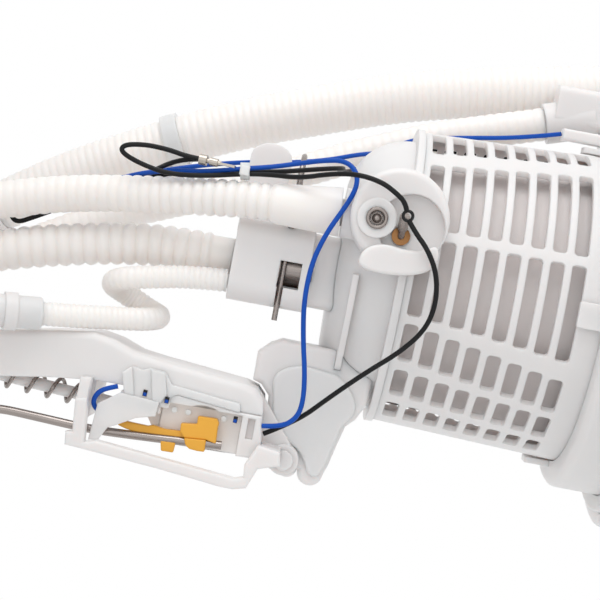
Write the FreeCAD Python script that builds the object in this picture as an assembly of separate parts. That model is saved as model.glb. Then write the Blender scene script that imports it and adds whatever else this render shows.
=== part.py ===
import FreeCAD, Part

import math
import os

# In-tank fuel module. Z runs up the module's axis and z = 0 is the seat under the flange.
# Front is -Y, so a distance ahead of the axis is -y. All sizes are millimetres.
V = FreeCAD.Vector
UP = V(0, 0, 1)
AHEAD = V(0, -1, 0)
TOUCH = 0.02
RUNNING = 0.05
LOOSE = 0.3

# Filter canister with its pleated element
CANISTER_LOW_R = 43.5
CANISTER_TAPER = 3.0
CANISTER_TOP_R = CANISTER_LOW_R + CANISTER_TAPER
CANISTER_WALL = 1.8
CANISTER_TOP_Z = -6.0
LID_T = 2.5
TUBE_R = 22.2
TUBE_WALL = 1.6
PLEATS = 36
PLEAT_GAP = 0.7
PLEAT_OUT_R = CANISTER_LOW_R - CANISTER_WALL - PLEAT_GAP
PLEAT_IN_R = 25.0
PLEAT_FOLD = 12.5
ELEMENT_GAP = 3.0

# Slotted cage round the canister
CAGE_LOW_Z = -83.0
CAGE_WALL = 2.2
CAGE_LOW_GAP = 4.3
CAGE_TOP_GAP = 4.7
CAGE_LOW_R = CANISTER_LOW_R + CAGE_LOW_GAP + CAGE_WALL
CAGE_TOP_R = CANISTER_TOP_R + CAGE_TOP_GAP + CAGE_WALL
COLUMN_COUNT = 8
COLUMN_PITCH = 6.9
COLUMN_FIRST_Z = -78.4
SLOT_W = 4.6
SLOT_CORNER = 1.3
# Each ring of slots: lower and upper angle at the lowest column, then at the highest column.
# Angles are degrees from the front towards -X.
SLOT_RINGS = [
    (54.5, 76.0, 63.0, 82.0),
    (17.5, 47.0, 17.0, 54.0),
    (-15.0, 14.0, -21.0, 13.5),
    (-33.5, -18.0, -42.5, -28.0),
    (-51.5, -37.5, -58.0, -45.5),
    (-70.0, -56.5, -72.0, -61.5),
]

# Flange cover: disc on the tank, neck below it
NECK_STEP = 8.1
RIM_STEP = 10.5
NECK_R = CAGE_TOP_R + NECK_STEP
DISC_R = NECK_R + RIM_STEP
DISC_T = 4.0
NECK_WALL = 2.5
NECK_H = 20.0
NECK_ROUND = 3.0
CROWN_R = 50.0
CROWN_H = 5.0
RIB_COUNT = 12
RIB_T = 1.6
RIB_H = 3.0
TONGUE_W = 8.3
TONGUE_T = 2.0
TONGUE_REACH = 8.5
SEAL_T = 4.5
SEAL_W = 5.5
SEAL_SUNK = 1.5

# Electrical socket and pins on top of the flange
SOCKET_L = 34.0
SOCKET_W = 20.0
SOCKET_H = 18.0
SOCKET_WALL = 2.0
SOCKET_X = -16.0
PIN_COUNT = 5
PIN_PITCH = 5.0
PIN_W = 1.5
PIN_T = 0.8
PIN_H = 11.0

# Outlet spigot on top of the flange
SPIGOT_R = 3.95
SPIGOT_BORE = 2.6
SPIGOT_L = 24.0
SPIGOT_PLAIN_L = 16.0
SPIGOT_COLLAR_R = 5.2
RISER_R = 7.0
RISER_H = 16.0
RISER_X = 24.0

# End cap
CAP_LAP = 2.7
DOME_R = CANISTER_LOW_R + CAP_LAP
DOME_H = 20.0
CAP_RING_LAP = 0.8
CAP_RING_R = CAGE_LOW_R + CAP_RING_LAP
CAP_RING_T = 2.5
CAP_WALL = 2.2
CAP_INTAKE_R = 8.0
BOSS_R = 15.5
BOSS_X = -16.5
BOSS_Z = -88.5
BOSS_FRONT = 56.0
BOSS_FLOOR = 52.6
BOSS_RECESS_R = 10.5
SCREW_X = -15.0
SCREW_Z = -95.7
SCREW_R = 2.0
SCREW_HEAD_R = 3.1
SCREW_HEAD_H = 2.2
SCREW_L = 9.5
SCREW_BOSS_R = 6.2
STUD_X = -11.0
STUD_Z = -87.2
STUD_R = 1.1
STUD_BEND = 0.6
BUSH_R = 2.9
BUSH_L = 3.8
BUSH_SUNK = 3.0
PORT_X = -15.6
PORT_FRONT = 42.0
PORT_R = 8.0
NIPPLE_R = 4.4
NIPPLE_BORE = 3.0
NIPPLE_L = 12.0
LIP_FRONT = 58.0
LIP_ROUND = 1.2

# Pump on the axis
PUMP_R = 19.0
PUMP_WALL = 1.2
PUMP_LOW_Z = -96.0
PUMP_TOP_Z = -34.0
COVER_T = 3.0
SLEEVE_LOW_Z = -80.0
SLEEVE_TOP_Z = -44.0
SHAFT_R = 1.5
SHAFT_LOW_Z = -95.0
SHAFT_TOP_Z = -38.5
IMPELLER_R = 14.0
IMPELLER_T = 3.0
IMPELLER_Z = -91.5
VANES = 24
VANE_W = 1.4
VANE_DEPTH = 3.0
MIDPLATE_T = 4.0
ARMATURE_R = 13.2
ARMATURE_LOW_Z = -78.0
ARMATURE_L = 26.0
ARMATURE_SLOTS = 8
ARMATURE_SLOT_W = 3.0
AIR_GAP = 0.8
MAGNET_ARC = 150.0
COMMUTATOR_R = 6.5
COMMUTATOR_L = 6.0
COMMUTATOR_Z = -50.0
BRUSH_W = 4.0
BRUSH_H = 4.5
VALVE_X = 9.0
VALVE_BORE_R = 3.2
VALVE_SEAT_R = 2.0
VALVE_L = 5.0
OUTLET_R = 5.2
OUTLET_TOP_Z = -12.0

# Regulator block below the end cap
BLOCK_TOP_X = -9.0
BLOCK_LOW_X = 18.2
BLOCK_FRONT = 38.0
BLOCK_REAR = 10.0
BLOCK_LOW_Z = -138.3
BLOCK_TOP_Z = -113.2
BLOCK_ROUND = 6.5
BLOCK_WALL = 2.2
THROAT_FRONT = 32.0
THROAT_REAR = 13.0
REG_X = 4.6
REG_AHEAD = 24.0
REG_R = 8.5
REG_FLANGE_R = 10.6
REG_FLANGE_T = 1.6
REG_FLANGE_Z = -124.2
REG_TOP_Z = -112.0
RING_WIRE = 1.0
CLIP_WIRE = 0.9
CLIP_SPAN = 20.0
CLIP_Z = -121.6
CLIP_TOP_X = -32.5
CLIP_TIP_X = 22.3
WINDOW_TOP_X = 2.8
WINDOW_LOW_X = 11.4
WINDOW_Z = (-122.9, -115.8)
EAR_TOP_X = -36.0
EAR_Z = (-139.6, -125.6)
EAR_T = 2.6
JET_X = 12.4
JET_AHEAD = 33.4
JET_NIPPLE_R = 2.4
JET_NIPPLE_L = 7.0

# Bracket, pivot and swinging arm
PIVOT_X = 66.0
PIVOT_Z = -110.5
PIVOT_R = 2.0
BRACKET_REAR = 8.0
BRACKET_FRONT = 30.0
# The bracket's two lobes below the pivot: x, z and radius
LOBES = [(68.7, -108.9, 3.4), (69.3, -101.1, 4.2)]
LOBE_ROUND = 1.8
EAR_R = 5.0
EAR_DEPTH = 6.0
ARM_REAR = 13.0
ARM_FRONT = 46.0
ARM_WALL = 2.0
SLOPE = V(-0.061, 0, -0.998)
SPRING_R = 3.4
SPRING_WIRE = 0.65
SPRING_TURNS = 9
SPRING_L = 64.8
SPRING_X = 58.2
SPRING_Z = -173.6
SPRING_AHEAD = 27.0
ROD_R = 2.0
ROD_TAIL = 20.0
FOOT_T = 3.0
FOOT_L = 24.0
FOOT_W = 20.0
FOOT_REACH = 24.0
SEAT_T = 2.5
SEAT_UP = 20.0
SEAT_DOWN = 4.8

# Level sender on the arm
HOUSING_FRONT = 47.0
HOUSING_REAR = 34.0
CARD_FRONT = 41.3
CARD_T = 0.8
SWING_X = 62.5
SWING_Z = -137.6
SWING_R = 1.6
SWEEP_ROOM_R = 9.9
HOLDER_REAR = 42.2
HOLDER_FRONT = 47.4
FLOAT_WIRE = 1.4
FLOAT_WIRE_AHEAD = 45.0
FLOAT_L = 44.0
FLOAT_T = 18.0
FLOAT_W = 26.0
FLOAT_ROUND = 5.0
GUARD_REAR = 49.0
GUARD_FRONT = 54.0

# Hoses and leads, outer radii
TRANSFER_R = 9.4
RETURN_R = 6.9
OUTLET_HOSE_R = 6.0
JET_HOSE_R = 3.8
JET_SOCKET = 6.0
LEAD_R = 0.8
CUFF_WALL = 1.9
CUFF_L = 22.0
COUPLING_R = 7.0
TRANSFER_COUPLING_L = 14.0
CONNECTOR_L = 13.5


def ring(r_out, r_in, low, high):
    """Tube on the module's axis between two heights."""
    outer = Part.makeCylinder(r_out, high - low, V(0, 0, low))
    return outer.cut(Part.makeCylinder(r_in, high - low, V(0, 0, low)))


def outlined(points):
    """Face inside a closed run of points in the X-Z plane."""
    corners = [V(x, 0, z) for x, z in points]
    return Part.Face(Part.makePolygon(corners + corners[:1]))


def turned(profile, start=0.0, sweep=360.0):
    """Turn a (radius, height) outline about the module's axis, from one angle over a sweep."""
    solid = outlined(profile).revolve(V(), UP, sweep)
    solid.rotate(V(), UP, start)
    return solid


def slab(outline, rear, front):
    """Plate with an (x, z) outline, between two distances ahead of the axis."""
    plate = outlined(outline).extrude(AHEAD * (front - rear))
    plate.translate(AHEAD * rear)
    return plate


def smooth_slab(points, rear, front):
    """Plate whose outline is one smooth closed curve through (x, z) points."""
    curve = Part.BSplineCurve()
    curve.interpolate([V(x, -rear, z) for x, z in points], PeriodicFlag=True)
    return Part.Face(Part.Wire(curve.toShape())).extrude(AHEAD * (front - rear))


def block(x_range, ahead_range, z_range):
    """Rectangular block from its three spans."""
    size = [high - low for low, high in (x_range, ahead_range, z_range)]
    return Part.makeBox(*size, V(x_range[0], -ahead_range[1], z_range[0]))


def carried(shape, origin, direction):
    """Carry a shape made on the Z axis to a point, with Z turned along a direction."""
    out = shape.copy()
    out.Placement = FreeCAD.Placement(origin, FreeCAD.Rotation(UP, direction)).multiply(out.Placement)
    return out


def rod(start, end, radius):
    """Round bar between two points."""
    return Part.makeCylinder(radius, (end - start).Length, start, end - start)


def straight_edges(solid, direction):
    """Straight edges of a solid that run along a direction."""
    found = []
    for edge in solid.Edges:
        if isinstance(edge.Curve, Part.Line):
            if abs(edge.tangentAt(edge.FirstParameter).dot(direction)) > 0.9999:
                found.append(edge)
    return found


def round_edges(solid, radius, height):
    """Circular edges of one radius at one height on the module's axis."""
    found = []
    for edge in solid.Edges:
        if isinstance(edge.Curve, Part.Circle):
            flat = abs(edge.BoundBox.ZMax - height) < TOUCH and abs(edge.BoundBox.ZMin - height) < TOUCH
            if flat and abs(edge.Curve.Radius - radius) < TOUCH:
                found.append(edge)
    return found


def wall_radius(z, low_r, top_r, top_z=0.0):
    """Radius of a tapered wall that starts at the cage's lower rim."""
    return low_r + (top_r - low_r) * (z - CAGE_LOW_Z) / (top_z - CAGE_LOW_Z)


def cage_radius(z):
    return wall_radius(z, CAGE_LOW_R, CAGE_TOP_R)


def front_sector(low_r, high_r, z_range, low_angle, high_angle):
    """Sector between two angles measured from the front towards -X."""
    profile = [(low_r, z_range[0]), (high_r, z_range[0]), (high_r, z_range[1]), (low_r, z_range[1])]
    return turned(profile, -90 - high_angle, high_angle - low_angle)


def flange_cover():
    """Disc, ribbed crown, neck with a rounded shoulder, snap tongues, socket shroud and outlet spigot."""
    disc = Part.makeCylinder(DISC_R, DISC_T)
    disc = disc.makeFillet(DISC_T / 4, round_edges(disc, DISC_R, DISC_T))
    crown = Part.makeCylinder(CROWN_R, DISC_T + CROWN_H)
    crown = crown.makeFillet(CROWN_H / 3, round_edges(crown, CROWN_R, DISC_T + CROWN_H))
    shoulder_r = cage_radius(-NECK_H + NECK_WALL) + LOOSE
    neck_in = NECK_R - NECK_WALL
    neck = turned([
        (neck_in, 0), (neck_in, -NECK_H + NECK_WALL), (shoulder_r, -NECK_H + NECK_WALL),
        (shoulder_r, -NECK_H), (NECK_R, -NECK_H), (NECK_R, 0),
    ])
    neck = neck.makeFillet(NECK_ROUND, round_edges(neck, NECK_R, -NECK_H))
    body = disc.multiFuse([crown, neck, *top_ribs(), *tongues(shoulder_r), *top_fittings(), neck_spigot()])
    groove = ring(NECK_R + 2 * LOOSE + SEAL_W, NECK_R, 0, SEAL_SUNK)
    bores = [groove, socket_cavity(), rod(V(RISER_X, 0, -DISC_T), V(RISER_X, 0, spigot_z()), SPIGOT_BORE)]
    bores.append(rod(V(RISER_X, 0, spigot_z()), spigot_end() + V(1, 0, 0), SPIGOT_BORE))
    bores.append(rod(coupling_seat() * 0.7, coupling_seat() * 1.5, NIPPLE_BORE))
    return body.cut(bores).removeSplitter()


def top_ribs():
    """Radial ribs between the crown and the disc's rim."""
    reach = DISC_R - CROWN_R - DISC_T
    made = []
    for index in range(RIB_COUNT):
        rib = Part.makeBox(reach, RIB_T, RIB_H, V(CROWN_R - 1, -RIB_T / 2, DISC_T))
        rib.rotate(V(), UP, 360 / RIB_COUNT * (index + 0.5))
        made.append(rib)
    return made


def tongues(shoulder_r):
    """Four snap tongues that reach down from the neck's shoulder over the cage."""
    made = []
    for quarter in range(4):
        tongue = block((shoulder_r, shoulder_r + TONGUE_T), (-TONGUE_W / 2, TONGUE_W / 2),
                       (-NECK_H - TONGUE_REACH, -NECK_H + 1))
        tongue = tongue.makeFillet(TONGUE_T / 3, straight_edges(tongue, V(1, 0, 0)))
        tongue.rotate(V(), UP, 90 * quarter + 3)
        made.append(tongue)
    return made


def spigot_z():
    return DISC_T + CROWN_H + RISER_H - RISER_R


def spigot_end():
    return V(RISER_X + RISER_R + SPIGOT_L, 0, spigot_z())


def top_fittings():
    """Socket shroud, riser and the outlet spigot with its collar."""
    top = DISC_T + CROWN_H
    shroud = block((SOCKET_X - SOCKET_W / 2, SOCKET_X + SOCKET_W / 2), (-SOCKET_L / 2, SOCKET_L / 2),
                   (top - 1, top + SOCKET_H))
    shroud = shroud.makeFillet(SOCKET_WALL, straight_edges(shroud, UP))
    riser = Part.makeCylinder(RISER_R, RISER_H + 1, V(RISER_X, 0, top - 1))
    riser = riser.makeFillet(RISER_R / 3, round_edges(riser, RISER_R, top + RISER_H))
    spigot = rod(V(RISER_X, 0, spigot_z()), spigot_end(), SPIGOT_R)
    collar = rod(V(RISER_X, 0, spigot_z()), spigot_end() - V(SPIGOT_PLAIN_L, 0, 0), SPIGOT_COLLAR_R)
    return [shroud, riser, spigot, collar]


def socket_cavity():
    """Hollow of the electrical socket, open at its top."""
    top = DISC_T + CROWN_H
    inset = SOCKET_WALL
    hollow = block((SOCKET_X - SOCKET_W / 2 + inset, SOCKET_X + SOCKET_W / 2 - inset),
                   (-SOCKET_L / 2 + inset, SOCKET_L / 2 - inset), (top + inset, top + SOCKET_H + 1))
    return hollow.makeFillet(SOCKET_WALL / 2, straight_edges(hollow, UP))


def connector_pins():
    """Row of flat pins standing in the socket."""
    base = DISC_T + CROWN_H
    first = -PIN_PITCH * (PIN_COUNT - 1) / 2
    pins = []
    for index in range(PIN_COUNT):
        middle = first + index * PIN_PITCH
        thick = (SOCKET_X - PIN_T / 2, SOCKET_X + PIN_T / 2)
        wide = (middle - PIN_W / 2, middle + PIN_W / 2)
        pins.append(block(thick, wide, (base + SOCKET_WALL, base + SOCKET_WALL + PIN_H)))
    return Part.makeCompound(pins)


def coupling_seat():
    """Place on the neck's side where the outlet coupling plugs on."""
    angle = math.radians(154)
    return V(NECK_R * math.cos(angle), NECK_R * math.sin(angle), -NECK_H / 2 - 2)


def outward(point):
    """Level direction from the axis through a point."""
    flat = V(point.x, point.y, 0)
    return flat.normalize()


def neck_spigot():
    """Short nipple on the neck's side for the outlet coupling."""
    seat = coupling_seat()
    return rod(seat - outward(seat) * NECK_WALL / 2, seat + outward(seat) * NIPPLE_L, NIPPLE_R)


def flange_seal():
    """Rubber ring in the disc's groove, round the neck."""
    low = SEAL_SUNK - SEAL_T
    seal = ring(NECK_R + LOOSE + SEAL_W, NECK_R + LOOSE, low, SEAL_SUNK)
    return seal.makeFillet(SEAL_T / 4, round_edges(seal, NECK_R + LOOSE + SEAL_W, low))


def filter_cage():
    """Tapered cage with rings of rounded slots, closed behind as in front."""
    wall = turned([
        (CAGE_LOW_R - CAGE_WALL, CAGE_LOW_Z), (CAGE_LOW_R, CAGE_LOW_Z),
        (CAGE_TOP_R, 0), (CAGE_TOP_R - CAGE_WALL, 0),
    ])
    return wall.cut(cage_slots())


def cage_slots():
    """Cutters for all slots; the rear half mirrors the front half."""
    cutters = []
    for column in range(COLUMN_COUNT):
        share = column / (COLUMN_COUNT - 1)
        middle = COLUMN_FIRST_Z + column * COLUMN_PITCH
        radius = cage_radius(middle)
        for low_a, low_b, high_a, high_b in SLOT_RINGS:
            start = low_a + (high_a - low_a) * share
            end = low_b + (high_b - low_b) * share
            cutter = front_sector(radius - 2 * CAGE_WALL, radius + CAGE_WALL,
                                  (middle - SLOT_W / 2, middle + SLOT_W / 2), start, end)
            corners = [e for e in cutter.Edges if isinstance(e.Curve, Part.Line)
                       and abs(e.tangentAt(e.FirstParameter).z) < TOUCH]
            cutter = cutter.makeFillet(SLOT_CORNER, corners)
            cutters.append(cutter)
            cutters.append(cutter.mirror(V(), V(0, 1, 0)))
    return cutters


def filter_canister():
    """Smooth tapered can inside the cage, with a floor and a centre tube."""
    def can_radius(z):
        return wall_radius(z, CANISTER_LOW_R, CANISTER_TOP_R, CANISTER_TOP_Z)

    floor = CAGE_LOW_Z + CANISTER_WALL
    outer = turned([(TUBE_R - TUBE_WALL, CAGE_LOW_Z), (CANISTER_LOW_R, CAGE_LOW_Z),
                    (CANISTER_TOP_R, CANISTER_TOP_Z), (TUBE_R - TUBE_WALL, CANISTER_TOP_Z)])
    hollow = turned([(TUBE_R, floor), (can_radius(floor) - CANISTER_WALL, floor),
                     (CANISTER_TOP_R - CANISTER_WALL, CANISTER_TOP_Z), (TUBE_R, CANISTER_TOP_Z)])
    return outer.cut(hollow)


def canister_lid():
    """Annular lid of the canister, with a bead that seats inside it."""
    bead = ring(CANISTER_TOP_R - CANISTER_WALL - LOOSE, CANISTER_TOP_R - 2 * CANISTER_WALL,
                CANISTER_TOP_Z - LID_T, CANISTER_TOP_Z)
    return ring(CANISTER_TOP_R, TUBE_R - TUBE_WALL, CANISTER_TOP_Z, CANISTER_TOP_Z + LID_T).fuse(bead)


def filter_element():
    """Pleated paper ring: two zigzag outlines, one fold thickness apart."""
    def zigzag(high, low):
        points = []
        for index in range(2 * PLEATS):
            radius = high if index % 2 else low
            angle = math.pi * index / PLEATS
            points.append(V(radius * math.cos(angle), radius * math.sin(angle), CAGE_LOW_Z + ELEMENT_GAP))
        return Part.Wire(Part.makePolygon(points + points[:1]))

    paper = PLEAT_OUT_R - PLEAT_IN_R - PLEAT_FOLD
    height = V(0, 0, CANISTER_TOP_Z - LID_T - CAGE_LOW_Z - 2 * ELEMENT_GAP)
    outside = Part.Face(zigzag(PLEAT_OUT_R, PLEAT_OUT_R - PLEAT_FOLD)).extrude(height)
    return outside.cut(Part.Face(zigzag(PLEAT_OUT_R - paper, PLEAT_IN_R)).extrude(height))


def cap_low_z():
    return CAGE_LOW_Z - CAP_RING_T - DOME_H


def dome(radius, height, low_z, round_r):
    """Cylinder whose lower edge is rounded by one large arc."""
    drum = Part.makeCylinder(radius, height, V(0, 0, low_z))
    return drum.makeFillet(round_r, round_edges(drum, radius, low_z))


def cap_outside():
    """Outer form of the end cap: dome, rim ring, arc rib, round boss, lip and hose port."""
    body = dome(DOME_R, DOME_H + CAP_RING_T, cap_low_z(), DOME_H - TOUCH)
    rim = Part.makeCylinder(CAP_RING_R, CAP_RING_T, V(0, 0, CAGE_LOW_Z - CAP_RING_T))
    rib_z = (CAGE_LOW_Z - CAP_RING_T - 14, CAGE_LOW_Z - CAP_RING_T - 12)
    rib = front_sector(DOME_R - 10, DOME_R - 0.5, rib_z, -80, -4)
    boss = rod(V(BOSS_X, -20, BOSS_Z), V(BOSS_X, -BOSS_FRONT, BOSS_Z), BOSS_R)
    boss = boss.makeFillet(2, [e for e in boss.Edges if isinstance(e.Curve, Part.Circle)
                               and e.BoundBox.YMax < 1 - BOSS_FRONT])
    screw_boss = rod(V(SCREW_X, -40, SCREW_Z), V(SCREW_X, -BOSS_FRONT - 1.5, SCREW_Z), SCREW_BOSS_R)
    lip = smooth_slab([(-7.6, -99.2), (-8.6, -95.4), (-8.9, -90.0), (-9.2, -83.0), (-10.4, -78.2), (-8.0, -76.8),
                       (-5.0, -79.6), (-2.4, -83.6), (-0.4, -88.4), (0.9, -93.0), (0.8, -97.2), (-1.0, -99.8),
                       (-4.6, -100.2)], 40, LIP_FRONT)
    lip = lip.makeFillet(LIP_ROUND, [e for e in lip.Edges if e.BoundBox.YMax < 0.1 - LIP_FRONT])
    port = rod(V(PORT_X, -PORT_FRONT, -90), V(PORT_X, -PORT_FRONT, cap_low_z() - 0.5), PORT_R)
    return body.multiFuse([rim, rib, boss, screw_boss, lip, port])


def cage_room():
    """Space of the cage, with clearance, that the end cap's boss and lip stay out of."""
    gap = 2 * LOOSE
    top = -40.0
    return turned([(0, CAGE_LOW_Z), (CAGE_LOW_R + gap, CAGE_LOW_Z), (cage_radius(top) + gap, top), (0, top)])


def boss_recess():
    """Sunk floor round the earth stud, cut into the boss beside the screw boss."""
    sunk = rod(V(BOSS_X + 2.5, -BOSS_FLOOR, BOSS_Z + 4), V(BOSS_X + 2.5, -BOSS_FRONT - 5, BOSS_Z + 4),
               BOSS_RECESS_R)
    keep = rod(V(SCREW_X, -40, SCREW_Z), V(SCREW_X, -BOSS_FRONT - 6, SCREW_Z), SCREW_BOSS_R)
    below = block((-6.2, 20), (40, 70), (-110, -60))
    return sunk.cut([keep, below])


def end_cap():
    """Dome shell under the cage with its boss, lip, port and the pump's socket."""
    low = cap_low_z()
    hollow = dome(DOME_R - CAP_WALL, DOME_H + CAP_RING_T - CAP_WALL, low + CAP_WALL, DOME_H - CAP_WALL - TOUCH)
    socket = ring(PUMP_R + LOOSE + CAP_WALL, PUMP_R + LOOSE, low + CAP_WALL - 1, PUMP_LOW_Z + 10)
    bores = [
        cage_room(), boss_recess(),
        rod(V(0, 0, low - 1), V(0, 0, low + 2 * CAP_WALL), CAP_INTAKE_R),
        rod(V(SCREW_X, SCREW_L - BOSS_FRONT, SCREW_Z), V(SCREW_X, -70, SCREW_Z), SCREW_R),
        rod(V(SCREW_X, -BOSS_FRONT, SCREW_Z), V(SCREW_X, -70, SCREW_Z), SCREW_HEAD_R + LOOSE),
        rod(V(STUD_X, BUSH_SUNK - BOSS_FLOOR, STUD_Z), V(STUD_X, -70, STUD_Z), BUSH_R),
    ]
    mouth = outlet_route()[0]
    line = first_direction(outlet_route())
    nipple = rod(mouth - line * 3, mouth + line * NIPPLE_L, NIPPLE_R)
    bores.append(rod(mouth - line * 14, mouth + line * (NIPPLE_L + 1), NIPPLE_BORE))
    return cap_outside().cut(hollow).multiFuse([socket, nipple]).cut(bores).removeSplitter()


def first_direction(route):
    return (route[1] - route[0]).normalize()


def boss_screw():
    """Pan-head screw in the screw boss."""
    head = rod(V(SCREW_X, -BOSS_FRONT, SCREW_Z), V(SCREW_X, -BOSS_FRONT - SCREW_HEAD_H, SCREW_Z), SCREW_HEAD_R)
    head = head.makeFillet(SCREW_HEAD_H / 3, [e for e in head.Edges if isinstance(e.Curve, Part.Circle)
                                              and e.BoundBox.YMax < TOUCH - BOSS_FRONT - SCREW_HEAD_H])
    shank = rod(V(SCREW_X, -BOSS_FRONT, SCREW_Z), V(SCREW_X, SCREW_L - BOSS_FRONT, SCREW_Z), SCREW_R - TOUCH)
    return head.fuse(shank)


def stud_top():
    """Tip of the earth stud, where the two black leads leave."""
    return V(-17.0, -59.5, -87.4)


def stud_bush():
    """Brass bush in the boss floor."""
    bush = rod(stud_foot(), stud_foot() + AHEAD * BUSH_L, BUSH_R - TOUCH)
    return bush.cut(rod(stud_foot() - AHEAD, stud_foot() + AHEAD * (BUSH_L + 1), STUD_R + TOUCH))


def stud_foot():
    """Bottom of the bush's hole in the boss floor, where the stud and the bush both stand."""
    return V(STUD_X, BUSH_SUNK - BOSS_FLOOR, STUD_Z)


def earth_stud():
    """Steel stud that leaves its bush straight and then leans, with a crimp collar at its tip."""
    bend = stud_foot() + AHEAD * (BUSH_L + STUD_BEND)
    lean = (stud_top() - bend).normalize()
    shank = rod(stud_foot(), bend, STUD_R).fuse(rod(bend, stud_top(), STUD_R))
    collar = rod(stud_top() - lean * 5, stud_top(), STUD_R * 1.5)
    return shank.multiFuse([Part.makeSphere(STUD_R, bend), collar])


def pump_case():
    return ring(PUMP_R, PUMP_R - PUMP_WALL, PUMP_LOW_Z, PUMP_TOP_Z)


def pump_sleeve():
    """Rubber sleeve between the pump and the canister's centre tube."""
    return ring(TUBE_R - TUBE_WALL - RUNNING, PUMP_R, SLEEVE_LOW_Z, SLEEVE_TOP_Z)


def inlet_cover():
    """Lower cover with the inlet port and the lower shaft bearing."""
    inner = PUMP_R - PUMP_WALL
    spigot_top = IMPELLER_Z - 0.4
    cover = Part.makeCylinder(PUMP_R, COVER_T, V(0, 0, PUMP_LOW_Z - COVER_T))
    cover = cover.fuse(Part.makeCylinder(inner, spigot_top - PUMP_LOW_Z, V(0, 0, PUMP_LOW_Z)))
    port = Part.makeCylinder(3.5, 20, V(10, 0, PUMP_LOW_Z - COVER_T - 1))
    bearing = Part.makeCylinder(SHAFT_R + RUNNING, 20, V(0, 0, SHAFT_LOW_Z - LOOSE))
    return cover.cut([port, bearing])


def pump_midplate():
    """Plate above the impeller, with the passage to the motor space."""
    low = IMPELLER_Z + IMPELLER_T + 0.4
    plate = Part.makeCylinder(PUMP_R - PUMP_WALL, MIDPLATE_T, V(0, 0, low))
    skirt = ring(PUMP_R - PUMP_WALL, IMPELLER_R + 0.4, IMPELLER_Z - 0.4, low)
    bores = [Part.makeCylinder(SHAFT_R + RUNNING, 20, V(0, 0, low - 5)),
             Part.makeCylinder(3, 20, V(-10, 0, low - 5))]
    return plate.fuse(skirt).cut(bores)


def outlet_cover():
    """Upper cover with the upper bearing, the valve bore and the outlet nipple."""
    inner = PUMP_R - PUMP_WALL
    low = PUMP_TOP_Z - 6
    cover = Part.makeCylinder(inner, PUMP_TOP_Z - low, V(0, 0, low))
    cover = cover.fuse(Part.makeCylinder(PUMP_R, COVER_T, V(0, 0, PUMP_TOP_Z)))
    cover = cover.fuse(Part.makeCylinder(OUTLET_R, OUTLET_TOP_Z - PUMP_TOP_Z, V(VALVE_X, 0, PUMP_TOP_Z)))
    bores = [
        Part.makeCylinder(SHAFT_R + RUNNING, SHAFT_TOP_Z + LOOSE - low + 1, V(0, 0, low - 1)),
        Part.makeCylinder(VALVE_SEAT_R, 60, V(VALVE_X, 0, low - 1)),
        Part.makeCylinder(VALVE_BORE_R, 60, V(VALVE_X, 0, valve_seat_z())),
    ]
    return cover.cut(bores)


def valve_seat_z():
    return PUMP_TOP_Z + COVER_T


def valve_poppet():
    """Poppet of the check valve, resting on its seat."""
    seat = valve_seat_z()
    stem_r = VALVE_SEAT_R - 4 * RUNNING
    head_r = VALVE_BORE_R - 2 * RUNNING
    profile = [(0, seat - 1.5), (stem_r, seat - 1.5), (stem_r, seat), (head_r, seat), (head_r, seat + 2),
               (stem_r, seat + VALVE_L), (0, seat + VALVE_L)]
    poppet = turned(profile)
    poppet.translate(V(VALVE_X, 0, 0))
    return poppet


def pump_magnets():
    """Two curved magnets inside the pump case."""
    inner = ARMATURE_R + AIR_GAP
    outer = PUMP_R - PUMP_WALL
    z_range = (ARMATURE_LOW_Z - 1, ARMATURE_LOW_Z + ARMATURE_L + 1)
    profile = [(inner, z_range[0]), (outer, z_range[0]), (outer, z_range[1]), (inner, z_range[1])]
    left = turned(profile, -MAGNET_ARC / 2, MAGNET_ARC)
    return Part.makeCompound([left, turned(profile, 180 - MAGNET_ARC / 2, MAGNET_ARC)])


def armature():
    """Slotted armature core on the shaft."""
    core = ring(ARMATURE_R, SHAFT_R, ARMATURE_LOW_Z, ARMATURE_LOW_Z + ARMATURE_L)
    slots = []
    for index in range(ARMATURE_SLOTS):
        slot = Part.makeBox(ARMATURE_R, ARMATURE_SLOT_W, 2 * ARMATURE_L,
                            V(ARMATURE_R / 2, -ARMATURE_SLOT_W / 2, ARMATURE_LOW_Z - 5))
        slot.rotate(V(), UP, 360 / ARMATURE_SLOTS * index)
        slots.append(slot)
    return core.cut(slots)


def commutator():
    return ring(COMMUTATOR_R, SHAFT_R, COMMUTATOR_Z, COMMUTATOR_Z + COMMUTATOR_L)


def rotor_shaft():
    return Part.makeCylinder(SHAFT_R, SHAFT_TOP_Z - SHAFT_LOW_Z, V(0, 0, SHAFT_LOW_Z))


def impeller():
    """Regenerative impeller: disc with vane pockets round its rim on both faces."""
    disc = ring(IMPELLER_R, SHAFT_R, IMPELLER_Z, IMPELLER_Z + IMPELLER_T)
    pockets = []
    for index in range(VANES):
        pocket = Part.makeBox(VANE_DEPTH, VANE_W, IMPELLER_T + 2,
                              V(IMPELLER_R - VANE_DEPTH - 0.8, -VANE_W / 2, IMPELLER_Z - 1))
        pocket.rotate(V(), UP, 360 / VANES * index)
        pockets.append(pocket)
    return disc.cut(pockets)


def motor_brushes():
    """Two carbon brushes that ride on the commutator."""
    middle = COMMUTATOR_Z + COMMUTATOR_L / 2
    reach = 8.0
    made = []
    for side in (-1, 1):
        start = COMMUTATOR_R + RUNNING
        x_range = sorted((side * start, side * (start + reach)))
        made.append(block(x_range, (-BRUSH_W / 2, BRUSH_W / 2), (middle - BRUSH_H / 2, middle + BRUSH_H / 2)))
    return Part.makeCompound(made)


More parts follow.
